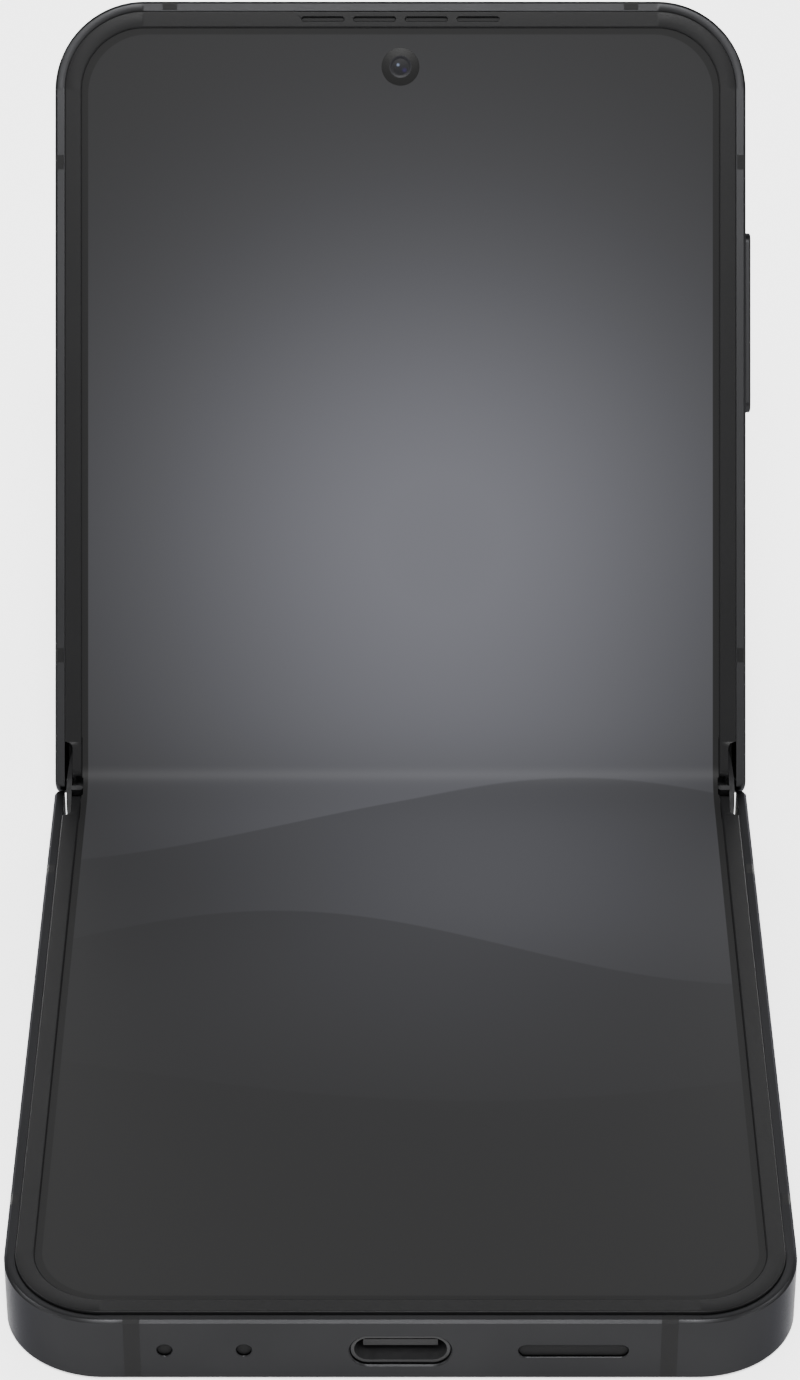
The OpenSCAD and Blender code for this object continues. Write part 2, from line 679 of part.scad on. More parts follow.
// Toothed sector of a hinge arm: a ring part with teeth outside and a web up to the rails
module sector(phase) {
    inner = 1.1;
    web_a = -50;
    low_a = mesh_b - 96;
    high_a = web_a + 2;
    root = sector_r - root_drop * gear_m;
    // Teeth whose middles lie between the sector's ends
    first = phase + sector_tooth * ceil((low_a - phase) / sector_tooth);
    count = floor((high_a - first) / sector_tooth);
    arc_bar(inner, root + 0.02, first - 4, high_a, gear_w);
    arc_bar(inner, rail_r2, web_a, 8, gear_w);
    translate([0, 0, -gear_w / 2]) linear_extrude(gear_w) difference() {
        polygon(concat([[0, 0]], teeth(sector_teeth, first, count)));
        circle(inner + 0.2);
    }
}

// Hinge arm of one module: curved rails, a toothed sector and the plate that is screwed to the beam.
// side = 1 is the upper half's, -1 the lower half's, drawn mirrored so that both turn up from +Y.
module hinge_arm(side) {
    lanes = side > 0 ? [lane_b1, lane_b2] : [lane_a1, lane_a2];
    sector_x = side > 0 ? lane_g + lane_clear : lane_g + 2 * gear_w + 3 * lane_clear;
    // The sectors' phases are given in the flat phone; the lower one's is mirrored with the half
    phase = side > 0 ? mesh_b : 180 - phase_a;
    phase_near = phase + 360 * round((mesh_b - phase) / 360);
    difference() {
        union() {
            for (x = lanes) lane(x, lane_w, 1) arc_bar(rail_r1, rail_r2, rail_start, rail_end, rail_w);
            lane(sector_x, gear_w, 1) sector(phase_near);
            translate([module_x, arm_y1, arm_z1]) cube([module_l, arm_y2 - arm_y1, arm_z2 - arm_z1]);
        }
        screw_places() {
            translate([0, 0, -past]) cylinder(r = screw_r + seat, h = 3 * past);
            translate([0, 0, 0.2 - seat]) cylinder(r = screw_head_r + seat, h = past);
        }
    }
}
module lower_hinge_arms() { color("#85878c") as_lower() both_sides() hinge_arm(-1); }
module upper_hinge_arms() { color("#85878c") on_upper() both_sides() hinge_arm(1); }

// Small gear: the outer two are wider, because they reach into a sector's lane
module sync_gear(i) {
    start = i == 0 ? 1 : (i == 3 ? 0 : 1);
    lanes = i == 0 || i == 3 ? 2 : 1;
    x = module_x + lane_g + lane_clear + start * (gear_w + lane_clear);
    w = lanes * gear_w + (lanes - 1) * lane_clear;
    color("#c2a468") on_spine() both_sides() along_x(x, gear_y[i], gear_z) rotate([0, 0, gear_turn[i]])
        linear_extrude(w) difference() {
            polygon(teeth(gear_teeth, gear_phase[i], gear_teeth));
            circle(gear_bore);
        }
}
module sync_gear_1() { sync_gear(0); }
module sync_gear_2() { sync_gear(1); }
module sync_gear_3() { sync_gear(2); }
module sync_gear_4() { sync_gear(3); }

// Rods between the two hinge modules, with stacks of disc springs that hold the fold at any angle
rod_r = 0.4;
rod_y = 3.2;
rod_z = axis_z - 2.45;
disc_t = 0.14;
disc_rise = 0.16;
disc_pitch = disc_t + disc_rise + 0.03;
disc_n = 24;
module friction_rods() {
    color("#a4a6aa") on_spine() for (s = [-1, 1]) {
        along_x(-module_x + seat, s * rod_y, rod_z) cylinder(r = rod_r, h = 2 * (module_x - seat));
        for (x = [0.9, module_x - 1.2]) both_sides() along_x(x, s * rod_y, rod_z) cylinder(r = 0.95, h = 0.5);
    }
}
module friction_springs() {
    color("#8a8c90") on_spine() both_sides() for (s = [-1, 1], i = [0:disc_n - 1])
        along_x(2 + i * disc_pitch, s * rod_y, rod_z)
            // Every second disc faces the other way
            translate([0, 0, i % 2 == 0 ? 0 : disc_t + disc_rise]) mirror([0, 0, i % 2]) rotate_extrude()
                polygon([[rod_r + 0.05, 0], [rod_r + 0.05, disc_t], [0.88, disc_t + disc_rise], [0.88, disc_rise]]);
}

// ---------- Inside the lower half ----------
battery_y = beam_y + 1.2;
lower_battery_l = 42;
lower_battery_w = body_w - 10.9;
bay_low = glass_top + 0.15;
module lower_battery() {
    color("#1f2023") as_lower() difference() {
        block(-lower_battery_w / 2, battery_y, bay_low + 0.5, lower_battery_w, lower_battery_l, parts_top - bay_low - 0.5, 1.2);
        // Notch for its lead
        translate([-4, battery_y - past, parts_top - 0.6]) cube([8, past + 2, 0.6 + past]);
    }
}
coil_r = 19;
coil_bore = 8;
coil_t = 0.4;
module charging_coil() {
    color("#b5763c") as_lower() translate([0, battery_y + lower_battery_l / 2, bay_low + 0.05]) difference() {
        cylinder(r = coil_r, h = coil_t);
        translate([0, 0, -past]) cylinder(r = coil_bore, h = coil_t + 2 * past);
    }
}
sub_y = battery_y + lower_battery_l + 1;
end_in = half_l - wall_t;
// The board takes the left side of the bay, the loudspeaker the right
sub_x = -hw + 4.95;
sub_end_x = 7;
speaker_box_x = sub_end_x + 1.6;
motor_l = 9.5;
module sub_board() {
    top = -port_z - usb_h / 2 - seat;
    corner = 5;
    color("#1d5a3a") as_lower() difference() {
        bay_block(sub_x, sub_y, top - board_t, sub_end_x - sub_x, end_in - 0.3 - sub_y, board_t, 1);
        translate([sub_x - past, end_in - corner - 0.5, top - board_t - past]) cube([corner + past, corner + past, board_t + 2 * past]);
    }
}
usb_w = port_w - 0.14;
usb_h = port_h - 0.14;
usb_l = 7.6;
module usb_c_connector() {
    wall = 0.3;
    y0 = half_l - 0.35 - usb_l;
    color("#a9abb0") as_lower() {
        along_y(0, y0, -port_z) linear_extrude(usb_l) difference() {
            stadium(usb_w, usb_h);
            stadium(usb_w - 2 * wall, usb_h - 2 * wall);
        }
        along_y(0, y0, -port_z) linear_extrude(2) stadium(usb_w - wall, usb_h - wall);
        translate([-3.35, y0 + 1.5, -port_z - 0.35]) cube([6.7, 5.2, 0.7]);
    }
}
module bottom_speaker() {
    color("#26272b") as_lower() bay_block(speaker_box_x, sub_y, bay_low + 0.3,
        hw - 3.95 - speaker_box_x, end_in - 0.6 - sub_y, parts_top - bay_low - 0.3, 1.5);
}
module speaker_mesh() {
    color("#55575c") as_lower() along_y(speaker_x, end_in - 0.5, mid_z - 0.1) linear_extrude(0.4) difference() {
        stadium(speaker_l + 0.8, speaker_h + 0.8);
        for (x = [-10:10], z = [-1:1]) translate([x * 0.42, z * 0.42]) circle(0.13, $fn = 16);
    }
}
module bottom_microphones() {
    z0 = -port_z - usb_h / 2 - seat + 0.05;
    color("#c9a85c") as_lower() for (x = [mic_x1, mic_x2])
        block(-x - 1.5, end_in - 2.9, z0, 3, 2.7, mid_z + 1 - z0, 0.3);
}
module vibration_motor() {
    z0 = -port_z - usb_h / 2 + 0.05;
    color("#9fa1a6") as_lower() block(sub_x + 1.5, sub_y + 1, z0, motor_l, motor_l, parts_top - z0 - 0.1, 0.8);
}

// ---------- Inside the upper half ----------
upper_battery_w = 44;
upper_battery_l = 28;
upper_battery_x = -upper_battery_w / 2 - 3;
flash_x = cam_x2 - cam_ring_r - flash_r - 1.6;
module upper_battery() {
    color("#1f2023") on_upper()
        block(upper_battery_x, battery_y, bay_low + 0.9, upper_battery_w, upper_battery_l, parts_top - bay_low - 0.9, 1.2);
}
cover_y = 9;
cover_l = camera_far - 10.45 - cover_y;
module cover_display() {
    color("#15161a") on_upper() difference() {
        block(-hw + 3, cover_y, glass_top + seat, body_w - 6, cover_l, 0.6, 4);
        translate([-hw, cover_y - past, glass_top - past]) cube([body_w, beam_y - cover_y + past + 0.2, past + 0.7]);
    }
}
module camera_rings() {
    color("#5a5c62") on_upper() for (x = [cam_x1, cam_x2]) translate([x, camera_far, 0]) rotate_extrude()
        polygon([
            [cam_ring_r - 1.5, -half_t - cam_ring_h + 0.3], [cam_ring_r - 1.2, -half_t - cam_ring_h],
            [cam_ring_r - 0.35, -half_t - cam_ring_h], [cam_ring_r, -half_t - cam_ring_h + 0.35],
            [cam_ring_r, -half_t - 0.02], [cam_ring_r - 0.7, -half_t - 0.02], [cam_ring_r - 0.7, glass_top],
            [cam_ring_r - 1.5, glass_top]
        ]);
}
module camera_lenses() {
    color("#101114") on_upper() for (x = [cam_x1, cam_x2]) translate([x, camera_far, -half_t - cam_ring_h + 0.35])
        cylinder(r = cam_ring_r - 1.5 - seat, h = 0.6);
}
cam_box = 10;
module camera_modules() {
    z0 = -half_t - cam_ring_h + 1;
    color("#232428") on_upper() for (x = [cam_x1, cam_x2]) translate([x, camera_far, 0]) {
        translate([0, 0, z0]) cylinder(r = cam_ring_r - 1.75, h = glass_top - z0 + 0.5);
        translate([-cam_box / 2, -cam_box / 2, glass_top + 0.2]) linear_extrude(parts_top - glass_top - 0.2)
            rounded(cam_box, cam_box, 0.8);
    }
}
module flash_window() {
    color("#e8e4d2") on_upper() translate([flash_x, camera_far, -half_t]) cylinder(r = flash_r, h = 0.9);
}
board_y = battery_y + upper_battery_l + 1;
// The board's arm runs down beside the battery, between it and the side keys
arm_x = upper_battery_x + upper_battery_w + 1;
arm_end_x = hw - 4;
module main_board() {
    color("#17402e") on_upper() difference() {
        union() {
            bay_block(-hw + 3.2, board_y, board_top - board_t, body_w - 7.2, end_in - 0.6 - board_y, board_t, 1);
            block(arm_x, battery_y, board_top - board_t, arm_end_x - arm_x, board_y + can_l - battery_y, board_t, 1);
        }
        // Room for the rear cameras, and for the front camera and the earpiece
        translate([cam_x2 - cam_box / 2 - bay_gap, camera_far - cam_box / 2 - bay_gap, board_top - past])
            cube([hw, half_l - camera_far + cam_box, 2 * past]);
        translate([-6.6, window_y - 3.2, board_top - past]) cube([hw, half_l - window_y + 3.2 + past, 2 * past]);
    }
}
can_gap = 0.1;
can_l = 14;
can_low = bay_low + 0.85;
module shield_cans() {
    z_up = board_top + can_gap;
    z_down = board_top - board_t - can_gap;
    color("#b9bbc0") on_upper() {
        block(-14, board_y + 1.5, z_up, arm_end_x + 12.05, can_l, parts_top - z_up, 0.6);
        block(-hw + 7.95, board_y + 1.5, can_low, body_w - 17.9, can_l + 1, z_down - can_low, 0.6);
        block(arm_x + 4, battery_y + 2, can_low, arm_end_x - arm_x - 4.95, upper_battery_l - 4, z_down - can_low, 0.6);
    }
}
module sim_reader() {
    // Open cage over the tray, on the board
    l = card_w + 4;
    inner_end = -hw + wall_t + tray_depth;
    color("#c7c9cd") on_upper() difference() {
        translate([-hw + 3.4, tray_y - l / 2, board_top + seat])
            cube([inner_end + 0.3 + hw - 3.4, l, parts_top - board_top - seat]);
        translate([-hw, tray_y - l / 2 + 0.4, board_top + 0.25])
            cube([inner_end + hw, l - 0.8, parts_top - board_top - 0.5]);
    }
}
module front_camera() {
    color("#1b1c20") on_upper() translate([0, window_y, 0]) {
        translate([0, 0, -4.8]) linear_extrude(4.8 + parts_top) translate([-2.7, -2.7]) rounded(5.4, 5.4, 0.7);
        translate([0, 0, parts_top - seat]) cylinder(r = front_cam_r - 0.1, h = plate_top - parts_top);
    }
}
module front_camera_window() {
    color("#0c0d10") on_upper() translate([0, window_y, -display_t])
        cylinder(r = front_cam_r - 0.02, h = display_t);
}
module earpiece_speaker() {
    color("#2b2c30") on_upper() {
        translate([-6.2, window_y + 3.1, -3.4]) cube([12.4, end_in - 0.3 - window_y - 3.1, 3.4 + parts_top]);
        translate([-5.6, earpiece_y - 0.25, parts_top - seat]) cube([11.2, 0.5, -display_t - 0.1 - parts_top]);
    }
}
// Switch strip: each dome stands one key's travel behind its key
dome_h = 0.16;
dome_x = key_in - key_travel - seat - dome_h;
module side_key_switches() {
    strip_t = 0.3;
    color("#b08a4e") on_upper() {
        translate([dome_x - strip_t + 0.01, power_y - 6, mid_z - 1]) cube([strip_t, volume_y + volume_l / 2 + 7 - power_y, 2]);
        for (y = [power_y, volume_y - 5.5, volume_y + 5.5])
            along_x(dome_x, y, mid_z) cylinder(r1 = 0.9, r2 = 0.5, h = dome_h, $fn = 32);
    }
}

// ---------- Keys and tray ----------
// Key: a rounded cap through the wall, and a flange inside it that stops it
module side_key(y, l, face) {
    flange = 0.35;
    along_x(key_in + flange, y, mid_z) linear_extrude(face - 0.15 - key_in - flange) stadium(l, key_w);
    along_x(face - 0.15, y, mid_z) linear_extrude(0.15) stadium(l - 0.2, key_w - 0.2);
    along_x(key_in, y, mid_z) linear_extrude(flange - seat) stadium(l + 1, key_w + 0.6);
    along_x(key_in + flange - 2 * seat, y, mid_z) linear_extrude(3 * seat) stadium(l - 0.4, key_w - 0.4);
}
module volume_key() { color("#3c3d42") on_upper() side_key(volume_y, volume_l, hw + volume_h); }
module power_key() { color("#2f3035") on_upper() side_key(power_y, power_l, hw - power_sink); }

module sim_tray() {
    z = tray_z - 0.25;
    color("#3c3d42") on_upper() difference() {
        union() {
            along_x(-hw, tray_y, z) linear_extrude(wall_t - 0.1) stadium(tray_l, tray_w);
            translate([-hw + wall_t - 0.2, tray_y - card_w / 2 - 0.8, z - 0.35]) cube([tray_depth, card_w + 1.6, 0.7]);
        }
        // Seat of the card, and the hole for the ejecting pin
        translate([-hw + wall_t + 0.8, tray_y - card_w / 2, z - 0.15]) cube([tray_depth - 2, card_w, 1]);
        along_x(-hw - past, tray_y + tray_l / 2 - tray_w / 2, z) cylinder(r = 0.4, h = past + 0.9);
    }
}

lower_frame();
lower_antenna_breaks();
lower_back_glass();
lower_bezel();
display_lower();
lower_battery();
sub_board();
usb_c_connector();
bottom_speaker();
speaker_mesh();
bottom_microphones();
vibration_motor();
charging_coil();
lower_support_plate();
lower_hinge_arms();
lower_hinge_screws();
upper_frame();
upper_antenna_breaks();
upper_back_glass();
upper_bezel();
display_upper();
cover_display();
camera_rings();
camera_lenses();
camera_modules();
flash_window();
main_board();
shield_cans();
upper_battery();
front_camera();
front_camera_window();
earpiece_speaker();
sim_reader();
side_key_switches();
upper_support_plate();
upper_hinge_arms();
upper_hinge_screws();
sim_tray();
volume_key();
power_key();
spine_cover();
hinge_brackets();
gear_pins();
friction_rods();
friction_springs();
left_end_cap();
right_end_cap();
sync_gear_1();
sync_gear_2();
sync_gear_3();
sync_gear_4();
display_bend();
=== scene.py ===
import json
import math
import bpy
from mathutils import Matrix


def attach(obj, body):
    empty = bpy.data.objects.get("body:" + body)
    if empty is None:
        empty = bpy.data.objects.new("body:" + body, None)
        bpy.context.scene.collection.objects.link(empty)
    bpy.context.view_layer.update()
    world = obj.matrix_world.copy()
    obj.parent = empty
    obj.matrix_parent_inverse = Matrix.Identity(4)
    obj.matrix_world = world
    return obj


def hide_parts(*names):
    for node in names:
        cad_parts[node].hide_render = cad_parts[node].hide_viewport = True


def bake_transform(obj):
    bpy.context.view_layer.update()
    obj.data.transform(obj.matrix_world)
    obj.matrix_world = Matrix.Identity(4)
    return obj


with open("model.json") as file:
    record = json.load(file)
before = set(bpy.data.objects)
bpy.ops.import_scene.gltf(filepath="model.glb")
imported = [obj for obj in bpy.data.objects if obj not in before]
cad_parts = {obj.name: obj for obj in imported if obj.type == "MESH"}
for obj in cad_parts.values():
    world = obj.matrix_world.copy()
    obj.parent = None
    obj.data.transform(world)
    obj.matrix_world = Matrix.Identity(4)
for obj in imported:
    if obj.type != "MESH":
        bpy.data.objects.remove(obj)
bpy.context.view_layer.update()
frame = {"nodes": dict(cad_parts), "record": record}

from types import SimpleNamespace

import bmesh
import bpy
import numpy as np
from mathutils import Matrix, Vector

bl_info = {
    "name": "Folding Phone",
    "version": (1, 0, 0),
    "blender": (4, 5, 0),
    "location": "3D View > Sidebar > Folding Phone",
    "description": "Dresses the folding phone's frame: housings, display, bezels, hinge, keys, cameras and studio",
    "category": "Add Mesh",
}

# All sizes below are the CAD's own, in millimetres; the properties hold them in metres.
# Half coordinates: X across, +Y from the fold to the far edge, +Z out of the display, Z = 0 at the frame's top face.
MM = 0.001
QUARTER = math.pi / 2
HALVES = (("lower_half", "lower"), ("upper_half", "upper"))

# Half the gap between the two halves at the fold
GAP = 0.1
# Antenna breaks: distances from the fold along both sides, and places across the far edge
SIDE_BREAKS = (14.5, 65.8)
END_BREAKS = (-24, 24)
# Side keys: node, distance from the fold, length, and how far the face stands out of the frame
KEYS = (("volume_key", 49.3, 18.8, 0.7), ("power_key", 28.0, 11.0, -0.1))
KEY_CLEARANCE = 0.12
# Openings in the rails: side (0 for the far edge, 1 right, -1 left), place along it, rise over the half's middle,
# length, width, depth and flare. Small holes end blind on their mesh; the others pass through the wall.
BLIND, THROUGH = 0.35, 1.6
OPENINGS = {
    "lower": [(0, 0, -0.1, 9.07, 3.3, THROUGH, 0.14),
              (0, -14, 0, 1.361, 1.36, BLIND, 0.08),
              (0, -21.1, 0, 1.361, 1.36, BLIND, 0.08),
              (0, 15.46, -0.1, 9.83, 1.41, BLIND, 0.08)],
    "upper": [(0, -14, 0, 1.361, 1.36, BLIND, 0.08),
              (-1, 52, 1.2, 14.72, 2.02, THROUGH, 0.04)],
}
# Rear cameras and flash: places across the upper half
CAMERAS = (25, 11.6)
FLASH = 2.8


def length(name, text, mm):
    """A length property whose default is given in millimetres."""
    return bpy.props.FloatProperty(name=name, description=text, default=mm * MM, min=0, unit="LENGTH", precision=5)


def colour(name, text, *rgb):
    """A colour property in linear light."""
    return bpy.props.FloatVectorProperty(name=name, description=text, default=rgb, size=3, min=0, max=1,
                                         subtype="COLOR")


class PhoneSizes(bpy.types.PropertyGroup):
    """Sizes of the visible pieces"""

    opening: bpy.props.FloatProperty(
        name="Opening", description="Angle between the two halves' displays", default=math.radians(123),
        unit="ROTATION")
    width: length("Width", "Width across the frames", 71.9)
    half_length: length("Half length", "From the fold to a half's far edge", 82.55)
    thickness: length("Thickness", "Back glass to frame top", 6.9)
    corner: length("Corner", "Radius of the far corners", 9.3)
    front_edge: length("Front edge", "Chamfer of the frame's front edge", 0.25)
    back_edge: length("Back edge", "Chamfer of the frame's back edge", 0.3)
    rail: length("Rail", "Width of the frame's top face", 1.0)
    glass: length("Back glass", "Thickness of the back glass", 0.5)
    glass_inset: length("Glass inset", "From the frame's outside to the back glass", 0.75)
    bezel_height: length("Bezel height", "Height of the bezel over the frame", 0.25)
    bezel_inset: length("Bezel inset", "From the frame's outside to the bezel's inner edge", 2.8)
    display: length("Display", "Thickness of the display", 0.5)
    display_inset: length("Display inset", "From the frame's outside to the display's edge", 2.2)
    fold_radius: length("Fold radius", "Radius of the display's bend in the rest pose", 5.0)
    fold_start: length("Fold start", "From the fold to where the display starts to bend", 4.4)
    axis: length("Axis distance", "From the hinge's middle to each fold axis", 2.1)
    axis_depth: length("Axis depth", "Depth of the fold axes below the frame's top", 1.55)
    ear: length("Ear radius", "Rounding of the side rails' ends about the fold axis", 2.0)
    spine: length("Spine radius", "Outside of the spine cover about each fold axis", 4.65)
    spine_wall: length("Spine wall", "Thickness of the spine cover", 0.6)
    break_width: length("Break width", "Width of an antenna break", 1.5)
    key_width: length("Key width", "Width of the side keys", 2.1)
    ring: length("Camera ring", "Radius of the rear camera rings", 5.6)
    ring_height: length("Ring height", "Height of the rings over the back glass", 1.1)
    lens: length("Front camera", "Radius of the front camera's hole", 1.97)


class PhoneFinish(bpy.types.PropertyGroup):
    """Colours of the visible finishes"""

    metal: colour("Frame", "Anodised frame", 0.0143, 0.0144, 0.015)
    plastic: colour("Antenna breaks", "Moulded plastic in the frame", 0.0045, 0.0045, 0.0047)
    bezel: colour("Bezel", "Moulded rim of the display", 0.0047, 0.0047, 0.0049)
    back: colour("Back glass", "Etched glass", 0.016, 0.0165, 0.018)
    glow: colour("Wallpaper glow", "Brightest tone of the wallpaper", 0.187, 0.189, 0.213)
    shade: colour("Wallpaper shade", "Darkest tone of the wallpaper", 0.030, 0.030, 0.0305)
    floor: colour("Floor", "Studio floor", 0.9, 0.9, 0.9)


def in_mm(scene):
    """The scene's sizes in millimetres, with the places that follow from them."""
    sizes = scene.phone_sizes
    s = SimpleNamespace(**{n: getattr(sizes, n) / MM for n in type(sizes).__annotations__ if n != "opening"})
    s.fold = (math.pi - sizes.opening) / 2
    s.hw = s.width / 2
    s.corner_x, s.corner_y = s.hw - s.corner, s.half_length - s.corner
    s.axis_z = -s.axis_depth
    s.back_z = -s.thickness
    s.mid_z = s.back_z / 2
    s.glass_top = s.back_z + s.glass
    s.break_depth = s.rail - 0.1
    # The hinge's bay, the rear cameras, the front camera and the earpiece, counted from the fold
    s.bay_y = s.axis + s.spine + 0.35
    s.camera_y = s.half_length - 10.6
    s.window_y = s.half_length - 6.82
    s.earpiece_y = s.half_length - 1.87
    # Where the display's middle layer leaves the flat half and turns into the bend
    s.layer = -s.display / 2
    rise = s.axis_depth + s.layer
    s.meet = s.axis + (rise * math.sin(s.fold) - s.axis) / math.cos(s.fold)
    s.tangent = s.meet + s.fold_radius * math.tan(s.fold)
    return s


# ---------- Placement ----------
def turned(p, y, z, angle):
    """Points turned by an angle about the line parallel to X through (y, z)."""
    dy, dz = p[:, 1] - y, p[:, 2] - z
    c, n = math.cos(angle), math.sin(angle)
    return np.stack([p[:, 0], y + dy * c - dz * n, z + dy * n + dz * c], axis=1)


def on_lower(p, s):
    """Half coordinates to the row frame, for the lower half: the mirror of the upper one, lying on the floor."""
    return np.stack([p[:, 0], s.half_length / 2 - p[:, 1], p[:, 2] + s.thickness], axis=1) * MM


def on_spine(p, s):
    """Half coordinates to the row frame, for the hinge, which is turned by one fold about the lower axis."""
    return (turned(p, -s.axis, s.axis_z, s.fold) + [0, s.half_length / 2, s.thickness]) * MM


def on_upper(p, s):
    """Half coordinates to the row frame, for the upper half, turned by two folds."""
    return on_spine(turned(p, s.axis, s.axis_z, s.fold), s)


PLACE = {"lower_half": on_lower, "hinge_spine": on_spine, "upper_half": on_upper}


# ---------- Mesh making ----------
def quads(m, k, loop=True):
    """Quads of a grid of m stations by k points; the points of a station close into a loop."""
    i, j = np.meshgrid(np.arange(m - 1), np.arange(k if loop else k - 1), indexing="ij")
    a, b = i * k + j, i * k + (j + 1) % k
    return np.stack([a, b, b + k, a + k], -1).reshape(-1, 4).tolist()


def bridged(m, n):
    """Faces of a solid of m stations, each of n points along one side and n back along the other: the grid's quads,
    and at both ends quads from side to side."""
    k = np.arange(n - 1)
    end = np.stack([k, k + 1, 2 * n - 2 - k, 2 * n - 1 - k], -1)
    return quads(m, 2 * n) + end.tolist() + (end + (m - 1) * 2 * n).tolist()


def joined(solids):
    """The points and the faces of several solids as one."""
    starts = np.cumsum([0] + [len(p) for p, _ in solids])
    return np.concatenate([p for p, _ in solids]), [[i + a for i in face] for (_, f), a in zip(solids, starts)
                                                    for face in f]


def make(name, points, faces, slots=1, last=0):
    """A mesh object of points in metres in the row frame, with merged doubles, outward faces and empty material
    slots; last is the slot of the last face."""
    mesh = bpy.data.meshes.new(name)
    mesh.from_pydata(np.asarray(points, float).tolist(), [], faces)
    for _ in range(slots):
        mesh.materials.append(None)
    mesh.polygons[len(faces) - 1].material_index = last
    b = bmesh.new()
    b.from_mesh(mesh)
    bmesh.ops.remove_doubles(b, verts=b.verts, dist=1e-8)
    bmesh.ops.dissolve_degenerate(b, edges=b.edges, dist=1e-8)
    bmesh.ops.recalc_face_normals(b, faces=b.faces)
    b.to_mesh(mesh)
    b.free()
    ob = bpy.data.objects.new(name, mesh)
    bpy.context.scene.collection.objects.link(ob)
    return ob


def carve(ob, cutters):
    """Cuts closed meshes out of a piece and removes them."""
    for c in cutters:
        m = ob.modifiers.new("cut", "BOOLEAN")
        m.operation, m.solver, m.object = "DIFFERENCE", "EXACT", c
    bpy.context.view_layer.update()
    made = bpy.data.meshes.new_from_object(ob.evaluated_get(bpy.context.evaluated_depsgraph_get()))
    ob.modifiers.clear()
    ob.data = made
    for c in cutters:
        bpy.data.objects.remove(c)


def finish(ob, body, slot, *nodes, looks, edge=0):
    """Smooth shading with sharp edges marked, or softened by a width in millimetres, then the piece's looks, body and
    the CAD nodes that it stands for, which are hidden. The slot argument is not used."""
    sharp = math.radians(30)
    ob.data.shade_smooth()
    if edge:
        m = ob.modifiers.new("edges", "BEVEL")
        m.width, m.segments, m.limit_method, m.angle_limit = edge * MM, 2, "ANGLE", sharp
    else:
        ob.data.set_sharp_from_angle(angle=sharp)
    m = ob.modifiers.new("normals", "WEIGHTED_NORMAL")
    m.keep_sharp, m.weight = True, 100
    for i, name in enumerate(looks):
        ob.data.materials[i] = look(name)
    if body:
        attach(ob, body)
    if nodes:
        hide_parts(*nodes)


def stadium(l, w, n=16):
    """Loop of a slot with round ends, l long and w wide: two half circles."""
    a = np.linspace(-QUARTER, QUARTER, n)
    x = (l - w) / 2 + w / 2 * np.cos(a)
    y = w / 2 * np.sin(a)
    return np.stack([np.concatenate([x, -x]), np.concatenate([y, -y])], -1)


def rounded(half_w, y0, y1, r0, r1, n=9):
    """Loop of a rectangle from y0 to y1 whose corners are quarter circles, of radius r0 at y0 and r1 at y1: each
    point is the corner's middle plus the radius times (cos, sin) of its angle."""
    a = np.linspace(0, QUARTER, n)
    corners = [(half_w - r1, y1 - r1, r1), (-half_w + r1, y1 - r1, r1),
               (-half_w + r0, y0 + r0, r0), (half_w - r0, y0 + r0, r0)]
    return np.concatenate([np.stack([x + r * np.cos(a + k * QUARTER), y + r * np.sin(a + k * QUARTER)], -1)
                           for k, (x, y, r) in enumerate(corners)])


def stacked(loops, heights):
    """Closed solid of equal-sized loops, one at each height: rows (a, b, height), and its faces with both ends
    capped."""
    k = len(loops[0])
    p = np.concatenate([np.column_stack([l, np.full(k, h)]) for l, h in zip(loops, heights)])
    n = len(p)
    return p, quads(len(loops), k) + [list(range(k))[::-1], list(range(n - k, n))]


def quarter(r, n=5):
    """Steps of a rounded edge: how far in, r (1 - cos), and how far back, r (1 - sin), from the side to the face."""
    a = np.linspace(0, QUARTER, n)
    return r * (1 - np.cos(a)), r * (1 - np.sin(a))


def revolve(profile, n=64):
    """Surface of a profile (radius, height) turned about its axis: the radius times (cos, sin) of n even angles, at
    the profile's heights. Gives rows (a, b, height), and faces."""
    a = np.linspace(0, 2 * math.pi, n, endpoint=False)
    r, h = np.asarray(profile, float).T
    p = np.stack([r[:, None] * np.cos(a), r[:, None] * np.sin(a), np.repeat(h[:, None], n, 1)], -1).reshape(-1, 3)
    return p, quads(len(r), n)


def along_x(p, x, y, z):
    """Turns rows (a, b, height) so that a runs along Y, b along Z and the height along X."""
    return np.stack([x + p[:, 2], y + p[:, 0], z + p[:, 1]], -1)


def along_y(p, x, y, z):
    """Turns rows (a, b, height) so that a runs along X, b along Z and the height along Y."""
    return np.stack([x + p[:, 0], y + p[:, 2], z + p[:, 1]], -1)


def along_z(p, x, y, z):
    """Moves rows (a, b, height) without turning them."""
    return p + [x, y, z]


def slot_cutter(s, body, turn, place, inwards, l, w, depth, flare):
    """Cutter of a slot in a wall: a stadium carried inwards from outside, wider by the flare up to the face. Its
    bottom takes the second material."""
    steps = [(0.6, flare), (0.0, flare), (-flare, 0.0), (-depth, 0.0)]
    p, f = stacked([stadium(l + 2 * o, w + 2 * o) for _, o in steps], [-h * inwards for h, _ in steps])
    return make("cutter", PLACE[body](turn(p, *place), s), f, 2, 1)


